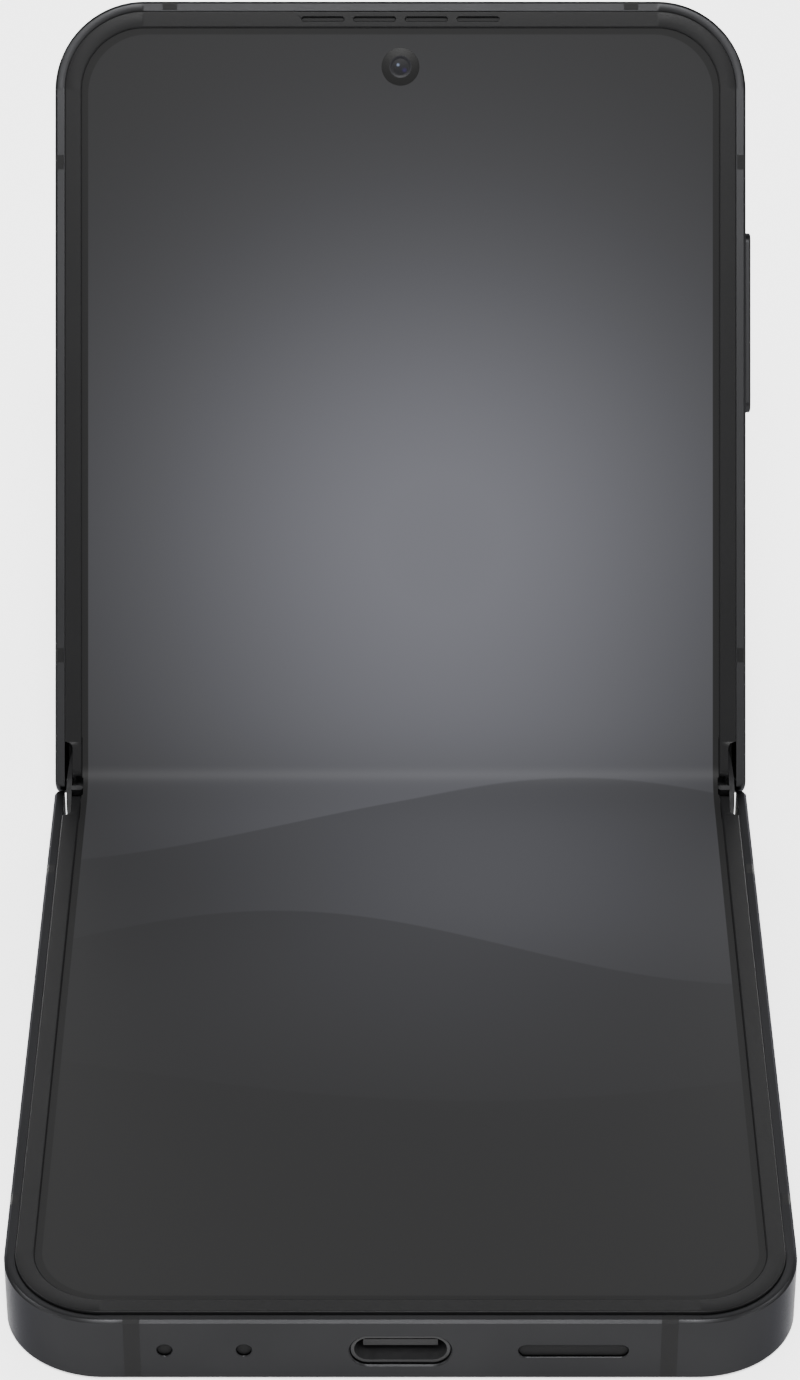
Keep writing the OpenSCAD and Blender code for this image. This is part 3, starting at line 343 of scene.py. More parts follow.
# ---------- Rims: what runs round a half ----------
def rim(s, floors, sides=(), ends=()):
    """Stations round a half's outer sides, from the right hinge end to the left one: straight lines at half the
    width and at the half's length, joined by quarter circles of the corner's radius.
    Gives points on the outline, inward directions, the least inset at each station and whether it lies in a gap.
    floors are pairs (distance from the fold, least inset) for the start of each side; sides and ends are the gaps,
    as pairs (middle, width)."""

    def doubled(gaps):
        """Both ends of each gap, doubled, and which of the doubles lie in the gap."""
        return [m + k * w / 2 for m, w in gaps for k in (-1, -1, 1, 1)], [0, 1, 1, 0] * len(gaps)

    floor_y, floor = zip(*floors)
    cuts, cut_gap = doubled(sides)
    y = np.array([*floor_y, *cuts, s.corner_y])
    one, zero = np.ones(len(y)), np.zeros(len(y))
    # Both ends of the corner's quarter circle are left to the straight sides
    a = np.linspace(0, QUARTER, 41)[1:-1]
    c, n = np.cos(a), np.sin(a)
    side = np.concatenate([np.column_stack([s.hw * one, y, -one, zero]),
                           np.column_stack([s.corner_x + s.corner * c, s.corner_y + s.corner * n, -c, -n])])
    least, gap = np.zeros(len(side)), np.zeros(len(side))
    least[:len(floor)] = floor
    gap[len(floor):len(floor) + len(cuts)] = cut_gap

    cuts, cut_gap = doubled(ends)
    x = np.array([-s.corner_x, *cuts, s.corner_x])[::-1]
    one, zero = np.ones(len(x)), np.zeros(len(x))
    far = np.column_stack([x, s.half_length * one, zero, -one])
    far_gap = np.array([0, *cut_gap, 0])

    st = np.concatenate([side, far, side[::-1] * [-1, 1, -1, 1]])
    return (st[:, :2], st[:, 2:], np.concatenate([least, zero, least[::-1]]),
            np.concatenate([gap, far_gap, gap[::-1]]))


def band(stations, z, out, inn, start, leads, depth=0.0):
    """A rim's solid: each station's section runs up at the insets out and down at the insets inn, both given at the
    heights z; a point is the outline's point plus its inset times the inward direction. In a gap the outer side
    steps back to depth. start gives where the rim begins at each height, and leads how far the first stations, and
    the last ones, lie behind it."""
    thinnest = 0.02
    at, inward, floor, gap = stations
    m, n = len(at), len(z)
    least = np.maximum(floor, gap * depth)[:, None]
    inset = np.concatenate([np.maximum(out, least), np.maximum(inn[::-1], least + thinnest)], 1)
    height = np.concatenate([z, z[::-1]])
    p = np.empty((m, 2 * n, 3))
    p[..., :2] = at[:, None] + inward[:, None] * inset[..., None]
    p[..., 2] = height
    begin = start(height) + np.asarray(leads)[:, None]
    p[:len(leads), :, 1] = begin
    p[-len(leads):, :, 1] = begin[::-1]
    return p.reshape(-1, 3), bridged(m, n)


def rounded_end(y, z0, r, least):
    """Where a bar begins at each height: at least, and above z0 on a circle of radius r about (y, z0)."""
    return lambda z: np.where(z > z0, y - np.sqrt(np.maximum(r * r - (z - z0) ** 2, 0)), least)


def rail_levels(s):
    """The rail's section: chamfered edges outside, a rebate for the back glass inside, and close levels over the
    fold axis where its end is rounded."""
    slack = 0.05
    step = s.glass_top + slack
    between = np.concatenate([[step, step, s.axis_z], s.axis_z + s.ear * np.sin(np.linspace(0.08, 0.68, 9))])
    z = np.concatenate([[s.back_z, s.back_z + s.back_edge], between, [-s.front_edge, 0]])
    out = np.concatenate([[s.back_edge], np.zeros(len(between) + 2), [s.front_edge]])
    # The rebate takes the three lowest levels
    inn = np.where(np.arange(len(z)) < 3, s.glass_inset - slack, s.rail)
    return z, out, inn


class PhoneFrames(bpy.types.Operator):
    """Metal rails round both halves, with their openings, and the plates and beams between them"""

    bl_idname = "phone.frames"
    bl_label = "Frames"

    def execute(self, context):
        s = in_mm(context.scene)
        z, out, inn = rail_levels(s)
        # The ears' outer corners are rounded in plan
        leads, insets = quarter(0.75, 9)
        gaps = [[(m, s.break_width) for m in places] for places in (SIDE_BREAKS, END_BREAKS)]
        stations = rim(s, list(zip(GAP + leads, insets)), *gaps)
        p, f = band(stations, z, out, inn, rounded_end(s.axis, s.axis_z, s.ear, GAP), leads, s.break_depth)
        key_slots = [(1, y, 0, l + KEY_CLEARANCE, s.key_width + KEY_CLEARANCE, THROUGH, 0.04) for _, y, l, _ in KEYS]
        for body, half in HALVES:
            ob = make(f"{half}_rail", PLACE[body](p, s), f, 2)
            cutters = []
            for side, along, rise, *slot in OPENINGS[half] + (key_slots if half == "upper" else []):
                turn, x, y = (along_x, side * s.hw, along) if side else (along_y, along, s.half_length)
                cutters.append(slot_cutter(s, body, turn, (x, y, s.mid_z + rise), -(side or 1), *slot))
            carve(ob, cutters)
            finish(ob, body, "frame_metal", f"{half}_frame", looks=["anodised metal", "opening mesh"], edge=0.03)

            # Plate under the display, beam beside the hinge's bay, and strip beside the spine: distance from the
            # frame's outside, ends, heights and radius of the far corners
            plate_end = s.half_length - (1.35 if half == "lower" else 3.2)
            bars = [(1.35, s.bay_y + 5.15, plate_end, -1.05, -0.55, 8.0),
                    (1.0, s.bay_y, s.bay_y + 5.2, -6.35, -1.48, 0.05),
                    (1.0, GAP, 1.3, s.back_z, s.glass_top, 0.05)]
            q, g = joined([stacked([rounded(s.hw - i, y0, y1, r, r)] * 2, [z0, z1]) for i, y0, y1, z0, z1, r in bars])
            ob = make(f"{half}_chassis", PLACE[body](q, s), g)
            finish(ob, body, "frame_metal", looks=["anodised metal"], edge=0.06)
        return {"FINISHED"}


class PhoneBreaks(bpy.types.Operator):
    """Plastic antenna breaks, flush in the rails: each is the rail's section carried over the break's width"""

    bl_idname = "phone.breaks"
    bl_label = "Antenna breaks"

    def execute(self, context):
        s = in_mm(context.scene)
        z, out, inn = rail_levels(s)
        inset = np.concatenate([out, np.minimum(inn, s.break_depth - 0.02)[::-1]])
        places = [(side * s.hw, y, -side, 0) for side in (1, -1) for y in SIDE_BREAKS]
        places = np.array(places + [(x, s.half_length, 0, -1) for x in END_BREAKS])
        at, inward = places[:, :2], places[:, 2:]
        ends = np.array([-1, 1])[:, None] * s.break_width / 2
        p = np.empty((len(places), 2, len(inset), 3))
        across = (inward[:, ::-1] * [-1, 1])[:, None] * ends
        p[..., :2] = (at[:, None] + across)[:, :, None] + inward[:, None, None] * inset[:, None]
        p[..., 2] = np.concatenate([z, z[::-1]])
        q, f = joined([(block, bridged(2, len(z))) for block in p.reshape(len(places), -1, 3)])
        for body, half in HALVES:
            ob = make(f"{half}_breaks", PLACE[body](q, s), f)
            finish(ob, body, "antenna_plastic", f"{half}_antenna_breaks", looks=["antenna plastic"])
        return {"FINISHED"}


class PhoneBezels(bpy.types.Operator):
    """Moulded rims of the display, with arms that turn down at the hinge and the earpiece slots"""

    bl_idname = "phone.bezels"
    bl_label = "Bezels"

    def execute(self, context):
        s = in_mm(context.scene)
        lip, clearance, top = 0.04, 0.04, s.bezel_height
        d, h = quarter(0.14)
        # The section: a wall beside the display, the lip that reaches over it, and rounded upper edges
        wall, over = [-s.display, -0.38, -0.26, -0.14, -0.04, lip], [lip, lip + 0.03]
        z = np.concatenate([wall, over, top - h])
        out = s.rail + clearance + np.concatenate([np.zeros(len(wall) + len(over)), d])
        inn = np.concatenate([np.full(len(wall), s.display_inset - 0.05), np.full(len(over), s.bezel_inset),
                              s.bezel_inset - 1.4 * d])
        # The arms begin on a small circle, and stand further in until the spine's end cap is passed
        turn_y, turn_r = 2.5, 1.0
        floors = [(turn_y - turn_r, 1.85), (2.6, 1.85), (4.9, 1.85), (5.15, 1.78), (5.35, 1.6), (5.45, 1.35),
                  (5.5, 0.9)]
        arm = rounded_end(turn_y, top - turn_r, turn_r, turn_y - turn_r)
        for body, half in HALVES:
            # The upper rim steps back a little behind the earpiece
            stations = rim(s, floors, ends=[(0, 22.0)] if half == "upper" else [])
            p, f = band(stations, z, out, inn, arm, [0], s.rail + 0.1)
            ob = make(f"{half}_rim", PLACE[body](p, s), f)
            if half == "upper":
                carve(ob, [slot_cutter(s, body, along_z, (i * 5.38, s.earpiece_y, top), -1, 4.4, 0.46, 0.4, 0.06)
                           for i in (-1.5, -0.5, 0.5, 1.5)])
            finish(ob, body, "bezel_plastic", f"{half}_bezel", looks=["bezel plastic"], edge=0.02)
        return {"FINISHED"}


def sheet_rows(s):
    """Rows of the display from a half's far edge to the middle of the fold: flat rows, turned by one fold, whose
    ends follow the corners' circle, then rows on a circle of the fold's radius. For each row, in the hinge's own
    section: the place of its middle layer, its normal, its half width, and its distance from the fold's middle
    along the sheet."""
    # Within this distance of the fold the sheet is narrower, and narrower still beside the tongues
    strip, tongue = 6.0, 1.1
    strip_w, tongue_w = s.hw - 2.85, s.hw - 2.97
    r = s.corner - s.display_inset
    y = np.concatenate([s.corner_y + r * np.sin(np.linspace(QUARTER, 0, 24)), np.linspace(s.corner_y, strip, 12)[1:],
                        np.linspace(strip - 0.05, s.tangent, 8)])
    past = np.maximum(y - s.corner_y, 0)
    flat_w = np.where(past > 0, s.corner_x + np.sqrt(np.maximum(r * r - past ** 2, 0)), s.hw - s.display_inset)
    flat_w = np.where(y < strip - 0.01, strip_w, flat_w)
    flat = turned(np.column_stack([0 * y, y, np.full_like(y, s.layer)]), s.axis, s.axis_z, s.fold)[:, 1:]

    t = np.linspace(s.fold, 0, 25)[1:]
    apex = turned(np.array([[0, s.meet, s.layer]]), s.axis, s.axis_z, s.fold)[0, 2]
    middle_z = apex + s.fold_radius / math.cos(s.fold)
    bend = np.stack([s.fold_radius * np.sin(t), middle_z - s.fold_radius * np.cos(t)], -1)

    slope = np.concatenate([np.full_like(y, s.fold), t])
    return (np.concatenate([flat, bend]), np.stack([-np.sin(slope), np.cos(slope)], -1),
            np.concatenate([flat_w, np.where(bend[:, 0] > tongue, strip_w, tongue_w)]),
            np.concatenate([y - s.tangent + s.fold_radius * s.fold, s.fold_radius * t]))


class PhoneDisplay(bpy.types.Operator):
    """The folding display: one sheet across the hinge, in two pieces that meet in the middle of the fold"""

    bl_idname = "phone.display"
    bl_label = "Display"

    def execute(self, context):
        s = in_mm(context.scene)
        line, normal, width, where = sheet_rows(s)
        # Each row's loop runs along the top face one way and along the bottom face back
        x = width[:, None] * np.linspace(-1, 1, 25)
        m, k = x.shape
        x = np.concatenate([x, x[:, ::-1]], 1)
        side = np.repeat([0.5, -0.5], k)[:, None] * s.display
        section = line[:, None] + normal[:, None] * side
        faces = quads(m, 2 * k) + [list(range(2 * k))[::-1], list(range((m - 1) * 2 * k, m * 2 * k))]
        for (body, half), sign in zip(HALVES, (-1, 1)):
            p = np.stack([x, sign * section[..., 0], section[..., 1]], -1).reshape(-1, 3)
            ob = make(f"screen_{half}", on_spine(p, s), faces)
            # Places on the unbent sheet, for the picture
            sheet = np.stack([x, np.repeat(sign * where[:, None], 2 * k, 1), 0 * x], -1)
            a = ob.data.attributes.new("sheet_mm", "FLOAT_VECTOR", "POINT")
            a.data.foreach_set("vector", sheet.astype(np.float32).ravel())
            finish(ob, None, "display_glass", f"display_{half}", "display_bend", looks=["folding display"])
            start = PLACE[body](np.array([[0, s.fold_start, s.layer]]), s)[0]
            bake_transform(ob)
        return {"FINISHED"}


class PhoneBacks(bpy.types.Operator):
    """Back glass of both halves, rounded at its edges, with the openings for the rear cameras and the flash"""

    bl_idname = "phone.backs"
    bl_label = "Back glass"

    def execute(self, context):
        s = in_mm(context.scene)
        near, near_r = 1.35, 0.6
        d, h = quarter(0.28, 7)
        loops = [rounded(s.hw - s.glass_inset - i, near + i, s.half_length - s.glass_inset - i, max(near_r - i, 0.2),
                         s.corner - s.glass_inset - i, 24) for i in (0, *d)]
        p, f = stacked(loops, [s.glass_top, *(s.back_z + h)])
        holes = [(x, s.ring - 0.6) for x in CAMERAS] + [(FLASH, 1.62)]
        for body, half in HALVES:
            ob = make(f"{half}_back", PLACE[body](p, s), f)
            if half == "upper":
                cuts = []
                for x, r in holes:
                    q, g = revolve([(0, -1), (r, -1), (r, 2), (0, 2)])
                    cuts.append(make("cutter", on_upper(along_z(q, x, s.camera_y, s.back_z), s), g))
                carve(ob, cuts)
            finish(ob, body, "back_glass", f"{half}_back_glass",
                   looks=["window glass" if half == "upper" else "etched glass"])
        return {"FINISHED"}


class PhoneHinge(bpy.types.Operator):
    """The spine cover, a smooth trough: a quarter circle about each fold axis and the flat between them"""

    bl_idname = "phone.hinge"
    bl_label = "Spine cover"

    def execute(self, context):
        s = in_mm(context.scene)
        a = np.linspace(0, QUARTER, 25)

        def face(r):
            """One face of the trough's wall, at radius r."""
            right = np.stack([s.axis + r * np.cos(a), s.axis_z - r * np.sin(a)], -1)
            return np.concatenate([right, right[::-1] * [-1, 1]])

        loop = np.concatenate([face(s.spine), face(s.spine - s.spine_wall)[::-1]])
        # Outside the trough come the running gap and the end cap's flange
        end = s.hw - s.rail - 0.2 - 0.55
        p, _ = stacked([loop, loop], [-end, end])
        ob = make("spine_shell", on_spine(along_x(p, 0, 0, 0), s), bridged(2, len(loop) // 2))
        finish(ob, "hinge_spine", "frame_metal", "spine_cover", looks=["anodised metal"], edge=0.06)
        return {"FINISHED"}


class PhoneKeys(bpy.types.Operator):
    """The two side keys: slot-shaped caps with softly rounded faces"""

    bl_idname = "phone.keys"
    bl_label = "Side keys"

    def execute(self, context):
        s = in_mm(context.scene)
        inner, w = s.hw - 1.75, s.key_width
        d, h = quarter(0.22, 7)
        for name, y, l, proud in KEYS:
            # The foot is wider than the slot and holds the key in
            loops = [stadium(l + 1, w + 0.6, 24)] * 2 + [stadium(l - 2 * i, w - 2 * i, 24) for i in (0, *d)]
            p, f = stacked(loops, [inner, inner + 0.3, inner + 0.3, *(s.hw + proud - h)])
            ob = make(f"{name}_cap", on_upper(along_x(p, 0, y, s.mid_z), s), f)
            finish(ob, name, "frame_metal", name, looks=["anodised metal"])
        return {"FINISHED"}


class PhoneCameras(bpy.types.Operator):
    """Rear camera rings with their lenses, the flash, and the front camera: all turned profiles"""

    bl_idname = "phone.cameras"
    bl_label = "Cameras"

    def execute(self, context):
        s = in_mm(context.scene)
        r, top = s.ring, s.ring_height

        def outwards(q, x):
            """Rows whose heights count outwards from the back glass, to the row frame."""
            return on_upper(np.stack([x + q[:, 0], s.camera_y + q[:, 1], s.back_z - q[:, 2]], -1), s)

        d, h = quarter(0.35, 6)
        ring = [(r - 0.7, -0.4), (r - 0.7, 0.02), (r, 0.02), *zip(r - d, top - h), (r - 1.2, top),
                (r - 1.3, top - 0.05), (r - 1.45, top - 0.3), (r - 1.5, top - 0.4), (r - 1.5, -0.4), (r - 0.7, -0.4)]
        lens = [(0, -0.2), (r - 1.55, -0.2), (r - 1.55, top - 0.42), (r - 1.7, top - 0.38), (3.4, top - 0.37),
                (3.35, top - 0.42), (2.5, top - 0.44), (2.45, top - 0.5), (2.0, top - 0.44), (1.2, top - 0.39),
                (0, top - 0.37)]
        for part, profile, slot, node, name, edge in (
                ("camera_collar", ring, "frame_metal", "camera_rings", "anodised metal", 0.02),
                ("camera_glass", lens, "lens_glass", "camera_lenses", "camera lens", 0)):
            q, f = revolve(profile, 96)
            for i, x in enumerate(CAMERAS):
                ob = make(f"{part}_{i + 1}", outwards(q, x), f)
                finish(ob, "upper_half", slot, node, looks=[name], edge=edge)
        q, f = revolve([(0, -0.4), (1.56, -0.4), (1.56, -0.05), (1.5, 0.0), (1.2, 0.02), (0, 0.03)])
        ob = make("flash_lens_cap", outwards(q, FLASH), f)
        finish(ob, "upper_half", "flash_lens", "flash_window", looks=["flash diffuser"])
        # Front camera: a dark disc on the display with a raised lens in a fine ring
        r = s.lens
        disc = [(0, -0.3), (r, -0.3), (r, 0.008), (r - 0.05, 0.018), (1.3, 0.02), (1.18, 0.035), (1.08, 0.035),
                (1.0, 0.01), (0.8, 0.02), (0.4, 0.035), (0, 0.04)]
        q, f = revolve(disc, 96)
        ob = make("front_lens", on_upper(along_z(q, 0, s.window_y, 0), s), f)
        finish(ob, "upper_half", "lens_glass", "front_camera_window", looks=["front lens"])
        return {"FINISHED"}


# ---------- Looks ----------
class Nodes:
    """Short words for building a material's nodes; every value may be a number or another node's socket."""

    def __init__(self, name):
        self.mat = bpy.data.materials.new(name)
        self.mat.use_nodes = True
        self.tree = self.mat.node_tree
        self.shader = self.tree.nodes["Principled BSDF"]

    def put(self, socket, v):
        if isinstance(v, bpy.types.NodeSocket):
            self.tree.links.new(v, socket)
        else:
            socket.default_value = v

    def add(self, kind, **inputs):
        """A node with its inputs set by name, or by number as i0, i1 and so on."""
        n = self.tree.nodes.new(kind)
        for key, v in inputs.items():
            self.put(n.inputs[int(key[1:])] if key[0] == "i" and key[1:].isdigit() else n.inputs[key], v)
        return n

    def math(self, op, a, b=0.0, c=0.0, clamp=False):
        n = self.add("ShaderNodeMath", i0=a, i1=b, i2=c)
        n.operation, n.use_clamp = op, clamp
        return n.outputs[0]

    def vector(self, op, a, b):
        n = self.add("ShaderNodeVectorMath", i0=a, i1=tuple(b))
        n.operation = op
        return n.outputs["Value"]

    def ramp(self, v, low, high, to_low, to_high, smooth=False):
        n = self.add("ShaderNodeMapRange", i0=v, i1=low, i2=high, i3=to_low, i4=to_high)
        n.interpolation_type = "SMOOTHSTEP" if smooth else "LINEAR"
        return n.outputs[0]

    def mix(self, factor, a, b):
        n = self.tree.nodes.new("ShaderNodeMix")
        n.data_type = "RGBA"
        for i, v in ((0, factor), (6, a), (7, b)):
            self.put(n.inputs[i], v)
        return n.outputs[2]

    def place(self):
        """The place in the row frame, because every piece lies at the origin."""
        return self.add("ShaderNodeTexCoord").outputs["Object"]

    def noise(self, scale, detail):
        return self.add("ShaderNodeTexNoise", Vector=self.place(), Scale=scale, Detail=detail).outputs[0]

    def spread(self, v, low, high):
        """The middle part of a noise, taken to a range of values or colours."""
        if isinstance(low, tuple):
            return self.mix(self.ramp(v, 0.3, 0.7, 0, 1), low, high)
        return self.ramp(v, 0.3, 0.7, low, high)

    def rounded_box(self, x, v, half_x, half_v, r):
        """Distance to the edge of a rectangle with corners of radius r about the middle, negative inside."""
        qx = self.math("SUBTRACT", self.math("ABSOLUTE", x), half_x - r)
        qv = self.math("SUBTRACT", self.math("ABSOLUTE", v), half_v - r)
        squares = [self.math("POWER", self.math("MAXIMUM", q, 0.0), 2.0) for q in (qx, qv)]
        inner = self.math("MINIMUM", self.math("MAXIMUM", qx, qv), 0.0)
        return self.math("SUBTRACT", self.math("ADD", self.math("SQRT", self.math("ADD", *squares)), inner), r)

    def bump(self, height, strength, distance):
        n = self.add("ShaderNodeBump", Strength=strength, Distance=distance, Height=height)
        self.tree.links.new(n.outputs[0], self.shader.inputs["Normal"])

    def set(self, **values):
        for key, v in values.items():
            self.put(self.shader.inputs[key.replace("_", " ")], v)
        return self.mat


def rgba(c, k=1.0):
    """A colour with alpha, made lighter or darker by k."""
    return (*[min(1.0, v * k) for v in c], 1.0)


def metal(n, scene):
    """Blasted and anodised aluminium: fine grain in its height and gloss, faint cloudiness in its tone."""
    c = scene.phone_finish.metal
    grain = n.noise(9000, 2)
    n.bump(grain, 0.12, 0.00002)
    return n.set(Base_Color=n.spread(n.noise(90, 4), rgba(c, 0.93), rgba(c, 1.07)), Metallic=1.0,
                 Roughness=n.spread(grain, 0.33, 0.43), Specular_Tint=(0.52, 0.52, 0.53, 1))


def plastic(n, scene, finish_name, rough, specular):
    """Moulded plastic: fine spark-eroded grain and a little tone from the mould."""
    c = getattr(scene.phone_finish, finish_name)
    grain = n.noise(6500, 3)
    n.bump(grain, 0.25, 0.00002)
    return n.set(Base_Color=n.spread(n.noise(120, 3), rgba(c, 0.94), rgba(c, 1.06)),
                 Roughness=n.spread(grain, rough - 0.06, rough + 0.06), Specular_IOR_Level=specular)


def back_glass(n, scene, window):
    """Etched glass: satin with a fine sparkle; on the upper half with a polished window over the cover display."""
    c = scene.phone_finish.back
    grain = n.noise(7000, 2)
    tone = n.spread(n.noise(60, 4), rgba(c, 0.95), rgba(c, 1.05))
    rough = n.spread(grain, 0.3, 0.38)
    if window:
        # The half's own X and Y in millimetres: Y is measured along its direction in the row frame
        s = in_mm(scene)
        low, high = s.bay_y + 0.9, s.camera_y - 10.45
        middle, beyond = on_upper(np.array([[0, (low + high) / 2, 0], [0, (low + high) / 2 + 1, 0]]), s)
        along = (beyond - middle) / MM
        at = n.place()
        v = n.math("SUBTRACT", n.vector("DOT_PRODUCT", at, along / MM), float(middle @ along) / MM)
        x = n.math("DIVIDE", n.add("ShaderNodeSeparateXYZ", i0=at).outputs[0], MM)
        inside = n.ramp(n.rounded_box(x, v, s.hw - 3, (high - low) / 2, 4), -0.03, 0.03, 1, 0)
        tone = n.mix(inside, tone, (0.004, 0.004, 0.0045, 1))
        rough = n.math("MULTIPLY", rough, n.math("MULTIPLY_ADD", inside, -0.72, 1.0))
    n.bump(grain, 0.05, 0.00001)
    return n.set(Base_Color=tone, Roughness=rough, Specular_IOR_Level=0.2)


def display(n, scene):
    """The display: a black border lifted by a faint painted glow, and inside it a soft glow with broad smooth waves
    below it.
    The glow is two bell curves; each wave is the area under a sine line, shaded down from its edge."""
    at = n.tree.nodes.new("ShaderNodeAttribute")
    at.attribute_name = "sheet_mm"
    x, v, _ = n.add("ShaderNodeSeparateXYZ", i0=at.outputs["Vector"]).outputs

    def bell(middle_x, middle_v, spread_x, spread_v):
        """exp of minus half the squared distances, each over its own spread."""
        a = n.math("POWER", n.math("DIVIDE", n.math("SUBTRACT", x, middle_x), spread_x), 2.0)
        b = n.math("POWER", n.math("DIVIDE", n.math("SUBTRACT", v, middle_v), spread_v), 2.0)
        return n.math("EXPONENT", n.math("MULTIPLY", n.math("ADD", a, b), -0.5))

    glow = n.math("ADD", bell(4, 28, 25, 23), n.math("MULTIPLY", bell(8, -17, 24, 20), 0.42))
    for base, high, wave, phase in ((-6, 7, 19, 0.6), (-27, 6, 15, 2.4), (-46, 5, 22, 4.4)):
        sine = n.math("SINE", n.math("ADD", n.math("DIVIDE", x, wave), phase))
        under = n.math("SUBTRACT", n.math("MULTIPLY_ADD", sine, high, base), v)
        # Full shade just under the line, fading out further down
        shade = n.math("MULTIPLY", n.ramp(under, -0.15, 0.15, 0, 1, True), n.ramp(under, 0, 26, 1, 0.15, True))
        glow = n.math("MULTIPLY", glow, n.math("MULTIPLY_ADD", shade, -0.3, 1.0))
    # Painted shade: the tone is drawn a little darker along the fold, as shade in the crease
    fold = n.math("EXPONENT", n.math("MULTIPLY", n.math("POWER", n.math("DIVIDE", v, 5.0), 2.0), -1.0))
    glow = n.math("MULTIPLY", glow, n.math("MULTIPLY_ADD", fold, -0.14, 1.0))
    # Eye-even steps of the tone are taken to linear light by 0.6 g + 0.4 g squared
    glow = n.math("MINIMUM", glow, 1.0)
    glow = n.math("MULTIPLY", glow, n.math("MULTIPLY_ADD", glow, 0.4, 0.6))
    tone = n.mix(glow, rgba(scene.phone_finish.shade), rgba(scene.phone_finish.glow))
    # Outside the lit area the border still glows faintly at 0.022: painted light that lifts its black
    lit = n.ramp(n.rounded_box(x, v, 32.5, 78.45, 6.2), -0.03, 0.03, 1, 0)
    return n.set(Base_Color=(0.001, 0.001, 0.001, 1), Emission_Color=n.mix(lit, (0.022, 0.022, 0.0223, 1), tone),
                 Emission_Strength=1.0, Roughness=0.38, Specular_IOR_Level=0.03)


def lens(n, scene):
    """Coated camera lens: black glass with a faint blue-violet unevenness."""
    return n.set(Base_Color=n.mix(n.noise(400, 2), (0.004, 0.004, 0.01, 1), (0.012, 0.01, 0.02, 1)),
                 Roughness=0.06, Specular_IOR_Level=0.22)


def front_lens(n, scene):
    """Front camera: a black disc with a coated lens in its middle, coloured by the distance from it, with two painted
    reflections.
    """
    s = in_mm(scene)
    at = n.place()

    def distance(x, y):
        """Distance from a point beside the lens's middle, in metres."""
        return n.vector("DISTANCE", at, on_upper(np.array([[x, s.window_y + y, 0]]), s)[0])

    r = distance(0, 0)
    tone = n.mix(n.ramp(r, 0.001, 0.00112, 0, 1), (0.006, 0.006, 0.0068, 1), (0.006, 0.006, 0.006, 1))
    from_rim = n.math("MULTIPLY", n.math("ABSOLUTE", n.math("SUBTRACT", r, 0.00108)), 9000.0)
    tone = n.mix(n.math("SUBTRACT", 1.0, from_rim, clamp=True), tone, (0.011, 0.011, 0.0125, 1))
    # Two painted reflections on the coating, one pale and one violet, beside the middle: glints put into the colour
    for x, y, size, c in ((-0.25, 0.2, 0.24, (0.06, 0.075, 0.11, 1)), (0.42, -0.35, 0.36, (0.009, 0.007, 0.022, 1))):
        tone = n.mix(n.ramp(distance(x, y), 0.00004, size * MM, 1, 0, True), tone, c)
    return n.set(Base_Color=tone, Roughness=0.3, Specular_IOR_Level=0.03)


def flash(n, scene):
    """Flash window: pale diffuser with the fine grain of a moulded lens."""
    grain = n.noise(2500, 2)
    n.bump(grain, 0.3, 0.00005)
    return n.set(Base_Color=n.mix(grain, (0.75, 0.7, 0.55, 1), (0.9, 0.87, 0.75, 1)), Roughness=0.25,
                 Coat_Weight=0.5)


def inner(n, scene, c, metallic, rough, specular):
    """A finish of the parts inside: a tone broken by noise, with its gloss and height."""
    g = n.noise(1500, 4)
    n.bump(g, 0.1, 0.00003)
    return n.set(Base_Color=n.spread(g, rgba(c, 0.88), rgba(c, 1.12)), Metallic=metallic,
                 Roughness=n.spread(g, rough - 0.08, rough + 0.08), Specular_IOR_Level=specular)


def lit_sweep(n, scene):
    """Studio floor: a pale sweep that glows a little itself, so that the shadows stay soft."""
    c = scene.phone_finish.floor
    return n.set(Base_Color=n.mix(n.noise(12, 2), rgba(c, 0.99), rgba(c)), Roughness=0.85, Specular_IOR_Level=0.1,
                 Emission_Color=(1, 1, 1, 1), Emission_Strength=1.4)


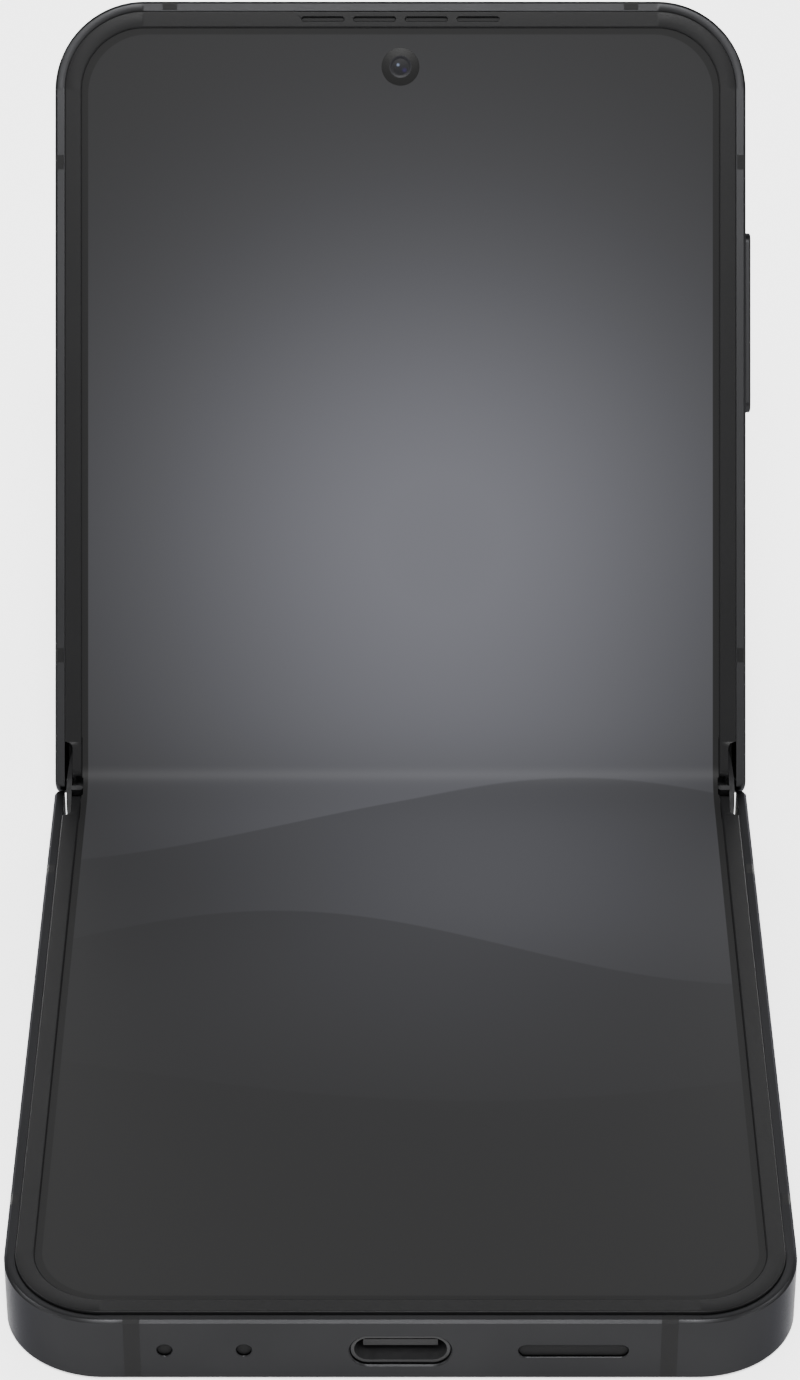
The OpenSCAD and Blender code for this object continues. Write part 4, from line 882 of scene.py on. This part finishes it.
# How each look is made. For inner ones: colour, metallic, roughness, specular level
LOOKS = {
    "anodised metal": (metal,),
    "antenna plastic": (plastic, "plastic", 0.42, 0.06),
    "bezel plastic": (plastic, "bezel", 0.36, 0.055),
    "etched glass": (back_glass, False),
    "window glass": (back_glass, True),
    "folding display": (display,),
    "camera lens": (lens,),
    "front lens": (front_lens,),
    "flash diffuser": (flash,),
    "studio floor": (lit_sweep,),
    "opening mesh": (inner, (0.006, 0.006, 0.0062), 0.0, 0.6, 0.05),
    "inner plastic": (inner, (0.006, 0.006, 0.0064), 0.0, 0.5, 0.15),
    "cover panel": (inner, (0.004, 0.004, 0.005), 0.0, 0.12, 0.3),
    "battery wrap": (inner, (0.014, 0.014, 0.016), 0.2, 0.4, 0.3),
    "solder mask": (inner, (0.006, 0.035, 0.02), 0.0, 0.4, 0.4),
    "tinned shield": (inner, (0.3, 0.3, 0.31), 1.0, 0.34, 0.5),
    "module plastic": (inner, (0.008, 0.008, 0.009), 0.0, 0.5, 0.2),
    "hinge steel": (inner, (0.2, 0.2, 0.21), 1.0, 0.32, 0.5),
    "enamelled copper": (inner, (0.3, 0.13, 0.055), 1.0, 0.35, 0.5),
    "sintered bronze": (inner, (0.3, 0.2, 0.09), 1.0, 0.38, 0.5),
    "end cap finish": (inner, (0.011, 0.011, 0.0115), 0.0, 0.42, 0.12),
    "dark glass": (inner, (0.004, 0.004, 0.006), 0.0, 0.08, 0.4),
    "inner glass": (inner, (0.016, 0.0165, 0.018), 0.0, 0.3, 0.3),
    "inner rim": (inner, (0.006, 0.006, 0.0063), 0.0, 0.5, 0.15),
    "panel edge": (inner, (0.004, 0.004, 0.0045), 0.0, 0.35, 0.1),
    "inner diffuser": (inner, (0.6, 0.56, 0.42), 0.0, 0.3, 0.5),
    "port shell": (inner, (0.012, 0.012, 0.0125), 0.0, 0.5, 0.15),
    "blackened mesh": (inner, (0.05, 0.05, 0.052), 0.3, 0.5, 0.2),
    "microphone mesh": (inner, (0.06, 0.06, 0.062), 0.3, 0.5, 0.2),
    "blackened steel": (inner, (0.006, 0.006, 0.0065), 0.5, 0.5, 0.2),
}

# The look of each material slot of the CAD nodes, and then of single nodes
INSIDE = {
    "frame_metal": "anodised metal", "antenna_plastic": "inner plastic", "cover_glass": "cover panel",
    "battery_foil": "battery wrap", "circuit_board": "solder mask", "shield_metal": "tinned shield",
    "module_plastic": "module plastic", "steel": "hinge steel", "copper_coil": "enamelled copper",
    "gear_metal": "sintered bronze", "cap_plastic": "end cap finish", "lens_glass": "dark glass",
    "back_glass": "inner glass", "bezel_plastic": "inner rim", "display_glass": "panel edge",
    "flash_lens": "inner diffuser",
    "usb_c_connector": "port shell", "speaker_mesh": "blackened mesh", "bottom_microphones": "microphone mesh",
    "lower_support_plate": "blackened steel", "upper_support_plate": "blackened steel",
}


def look(name):
    """The material of this name, made at its first use."""
    make_look, *values = LOOKS[name]
    return bpy.data.materials.get(name) or make_look(Nodes(name), bpy.context.scene, *values)


class PhoneInsides(bpy.types.Operator):
    """Materials of the CAD nodes that stay: each takes its slot's look"""

    bl_idname = "phone.insides"
    bl_label = "Inner parts"

    def execute(self, context):
        slots = {p["node"]: p["material_slot"] for p in frame["record"]["subparts"]}
        for node, ob in frame["nodes"].items():
            mat = look(INSIDE.get(node, INSIDE[slots[node]]))
            if not ob.material_slots:
                ob.data.materials.append(mat)
            for m in ob.material_slots:
                m.material = mat
        return {"FINISHED"}


# ---------- Studio ----------
# Disc lamps: name, place in metres, diameter in metres, watts; all shine at the phone's middle
LAMPS = (
    ("top left", (-0.95, 0.12, 0.8), 0.6, 14),
    ("top right", (0.95, 0.12, 0.8), 0.6, 12),
    ("rear left", (-0.62, 0.95, 0.14), 0.35, 4),
    ("rear right", (0.62, 0.95, 0.14), 0.35, 4),
    ("back", (0, 1.15, 0.75), 0.9, 9.5),
    ("front", (0, -0.92, 0.62), 1.2, 4.6),
    ("high", (0, -0.6, 1.0), 0.35, 20),
    ("left", (-0.85, -0.6, 0.5), 0.5, 4.5),
    ("right", (0.85, -0.6, 0.5), 0.5, 5),
)
AIM = (0, 0.02, 0.03)

# The camera looks nearly square at the upper half: its place in that half's coordinates and its lean in radians,
# then the lens in millimetres on a sensor 36 mm high, and the shift
EYE, LEAN = (-0.05, 18.99, 472.3), 0.0004
FOCAL, SHIFT = 118.39, -0.0552


def look_at(place, aim):
    """Matrix of a lamp at a place that shines at a point."""
    d = Vector(aim) - Vector(place)
    return Matrix.Translation(Vector(place)) @ d.to_track_quat("-Z", "Y").to_matrix().to_4x4()


class PhoneStudio(bpy.types.Operator):
    """Pale floor, soft lights, and the camera at the photograph's angle"""

    bl_idname = "phone.studio"
    bl_label = "Studio"

    def execute(self, context):
        s = in_mm(context.scene)
        scene = context.scene
        # Floor: a wide plane that rises slowly behind, by 0.35 times the square of the distance past the bend
        y, x = np.linspace(-2.5, 3.0, 45), np.linspace(-3, 3, 5)
        rise = 0.35 * np.maximum(y - 1.6, 0) ** 2
        p = np.stack([np.tile(x, len(y)), np.repeat(y, len(x)), np.repeat(rise, len(x))], -1)
        ob = make("studio_floor", p, quads(len(y), len(x), loop=False))
        if ob.data.polygons[0].normal.z < 0:
            ob.data.flip_normals()
        ob.data.materials[0] = look("studio floor")

        scene.world = bpy.data.worlds.new("studio air")
        scene.world.use_nodes = True
        air = scene.world.node_tree.nodes["Background"]
        air.inputs["Color"].default_value, air.inputs["Strength"].default_value = (1, 1, 1, 1), 0.5

        for name, place, size, power in LAMPS:
            data = bpy.data.lights.new(name, "AREA")
            data.shape, data.size, data.energy = "DISK", size, power
            lamp = bpy.data.objects.new(name, data)
            lamp.matrix_world = look_at(place, AIM)
            scene.collection.objects.link(lamp)

        data = bpy.data.cameras.new("photo camera")
        data.sensor_fit, data.sensor_height, data.lens = "VERTICAL", 36.0, FOCAL
        data.shift_y = SHIFT
        data.clip_start, data.clip_end = 0.01, 50
        eye = np.array(EYE)
        c, n = math.cos(LEAN), math.sin(LEAN)
        eye, behind, above = on_upper(np.array([eye, eye + [0, n, c], eye + [0, c, -n]]), s)
        back, up = Vector(behind - eye).normalized(), Vector(above - eye).normalized()
        turn = Matrix((up.cross(back), up, back)).transposed()
        cam = bpy.data.objects.new("photo camera", data)
        cam.matrix_world = Matrix.Translation(Vector(eye)) @ turn.to_4x4()
        scene.collection.objects.link(cam)
        scene.camera = cam
        return {"FINISHED"}


# ---------- Add-on ----------
STEPS = (PhoneInsides, PhoneFrames, PhoneBreaks, PhoneBezels, PhoneDisplay, PhoneBacks, PhoneHinge, PhoneKeys,
         PhoneCameras, PhoneStudio)


class PhonePanel(bpy.types.Panel):
    """Lists the phone's pieces and their sizes"""

    bl_idname = "VIEW3D_PT_folding_phone"
    bl_label = "Folding Phone"
    bl_space_type = "VIEW_3D"
    bl_region_type = "UI"
    bl_category = "Folding Phone"

    def draw(self, context):
        for step in STEPS:
            self.layout.operator(step.bl_idname)
        for group in (context.scene.phone_sizes, context.scene.phone_finish):
            box = self.layout.box()
            for name in type(group).__annotations__:
                box.prop(group, name)


CLASSES = (PhoneSizes, PhoneFinish, *STEPS, PhonePanel)


def register():
    for c in CLASSES:
        bpy.utils.register_class(c)
    bpy.types.Scene.phone_sizes = bpy.props.PointerProperty(type=PhoneSizes)
    bpy.types.Scene.phone_finish = bpy.props.PointerProperty(type=PhoneFinish)


def unregister():
    del bpy.types.Scene.phone_sizes, bpy.types.Scene.phone_finish
    for c in reversed(CLASSES):
        bpy.utils.unregister_class(c)


def main():
    register()
    for step in STEPS:
        group, name = step.bl_idname.split(".")
        getattr(getattr(bpy.ops, group), name)()


if __name__ == "__main__":
    main()
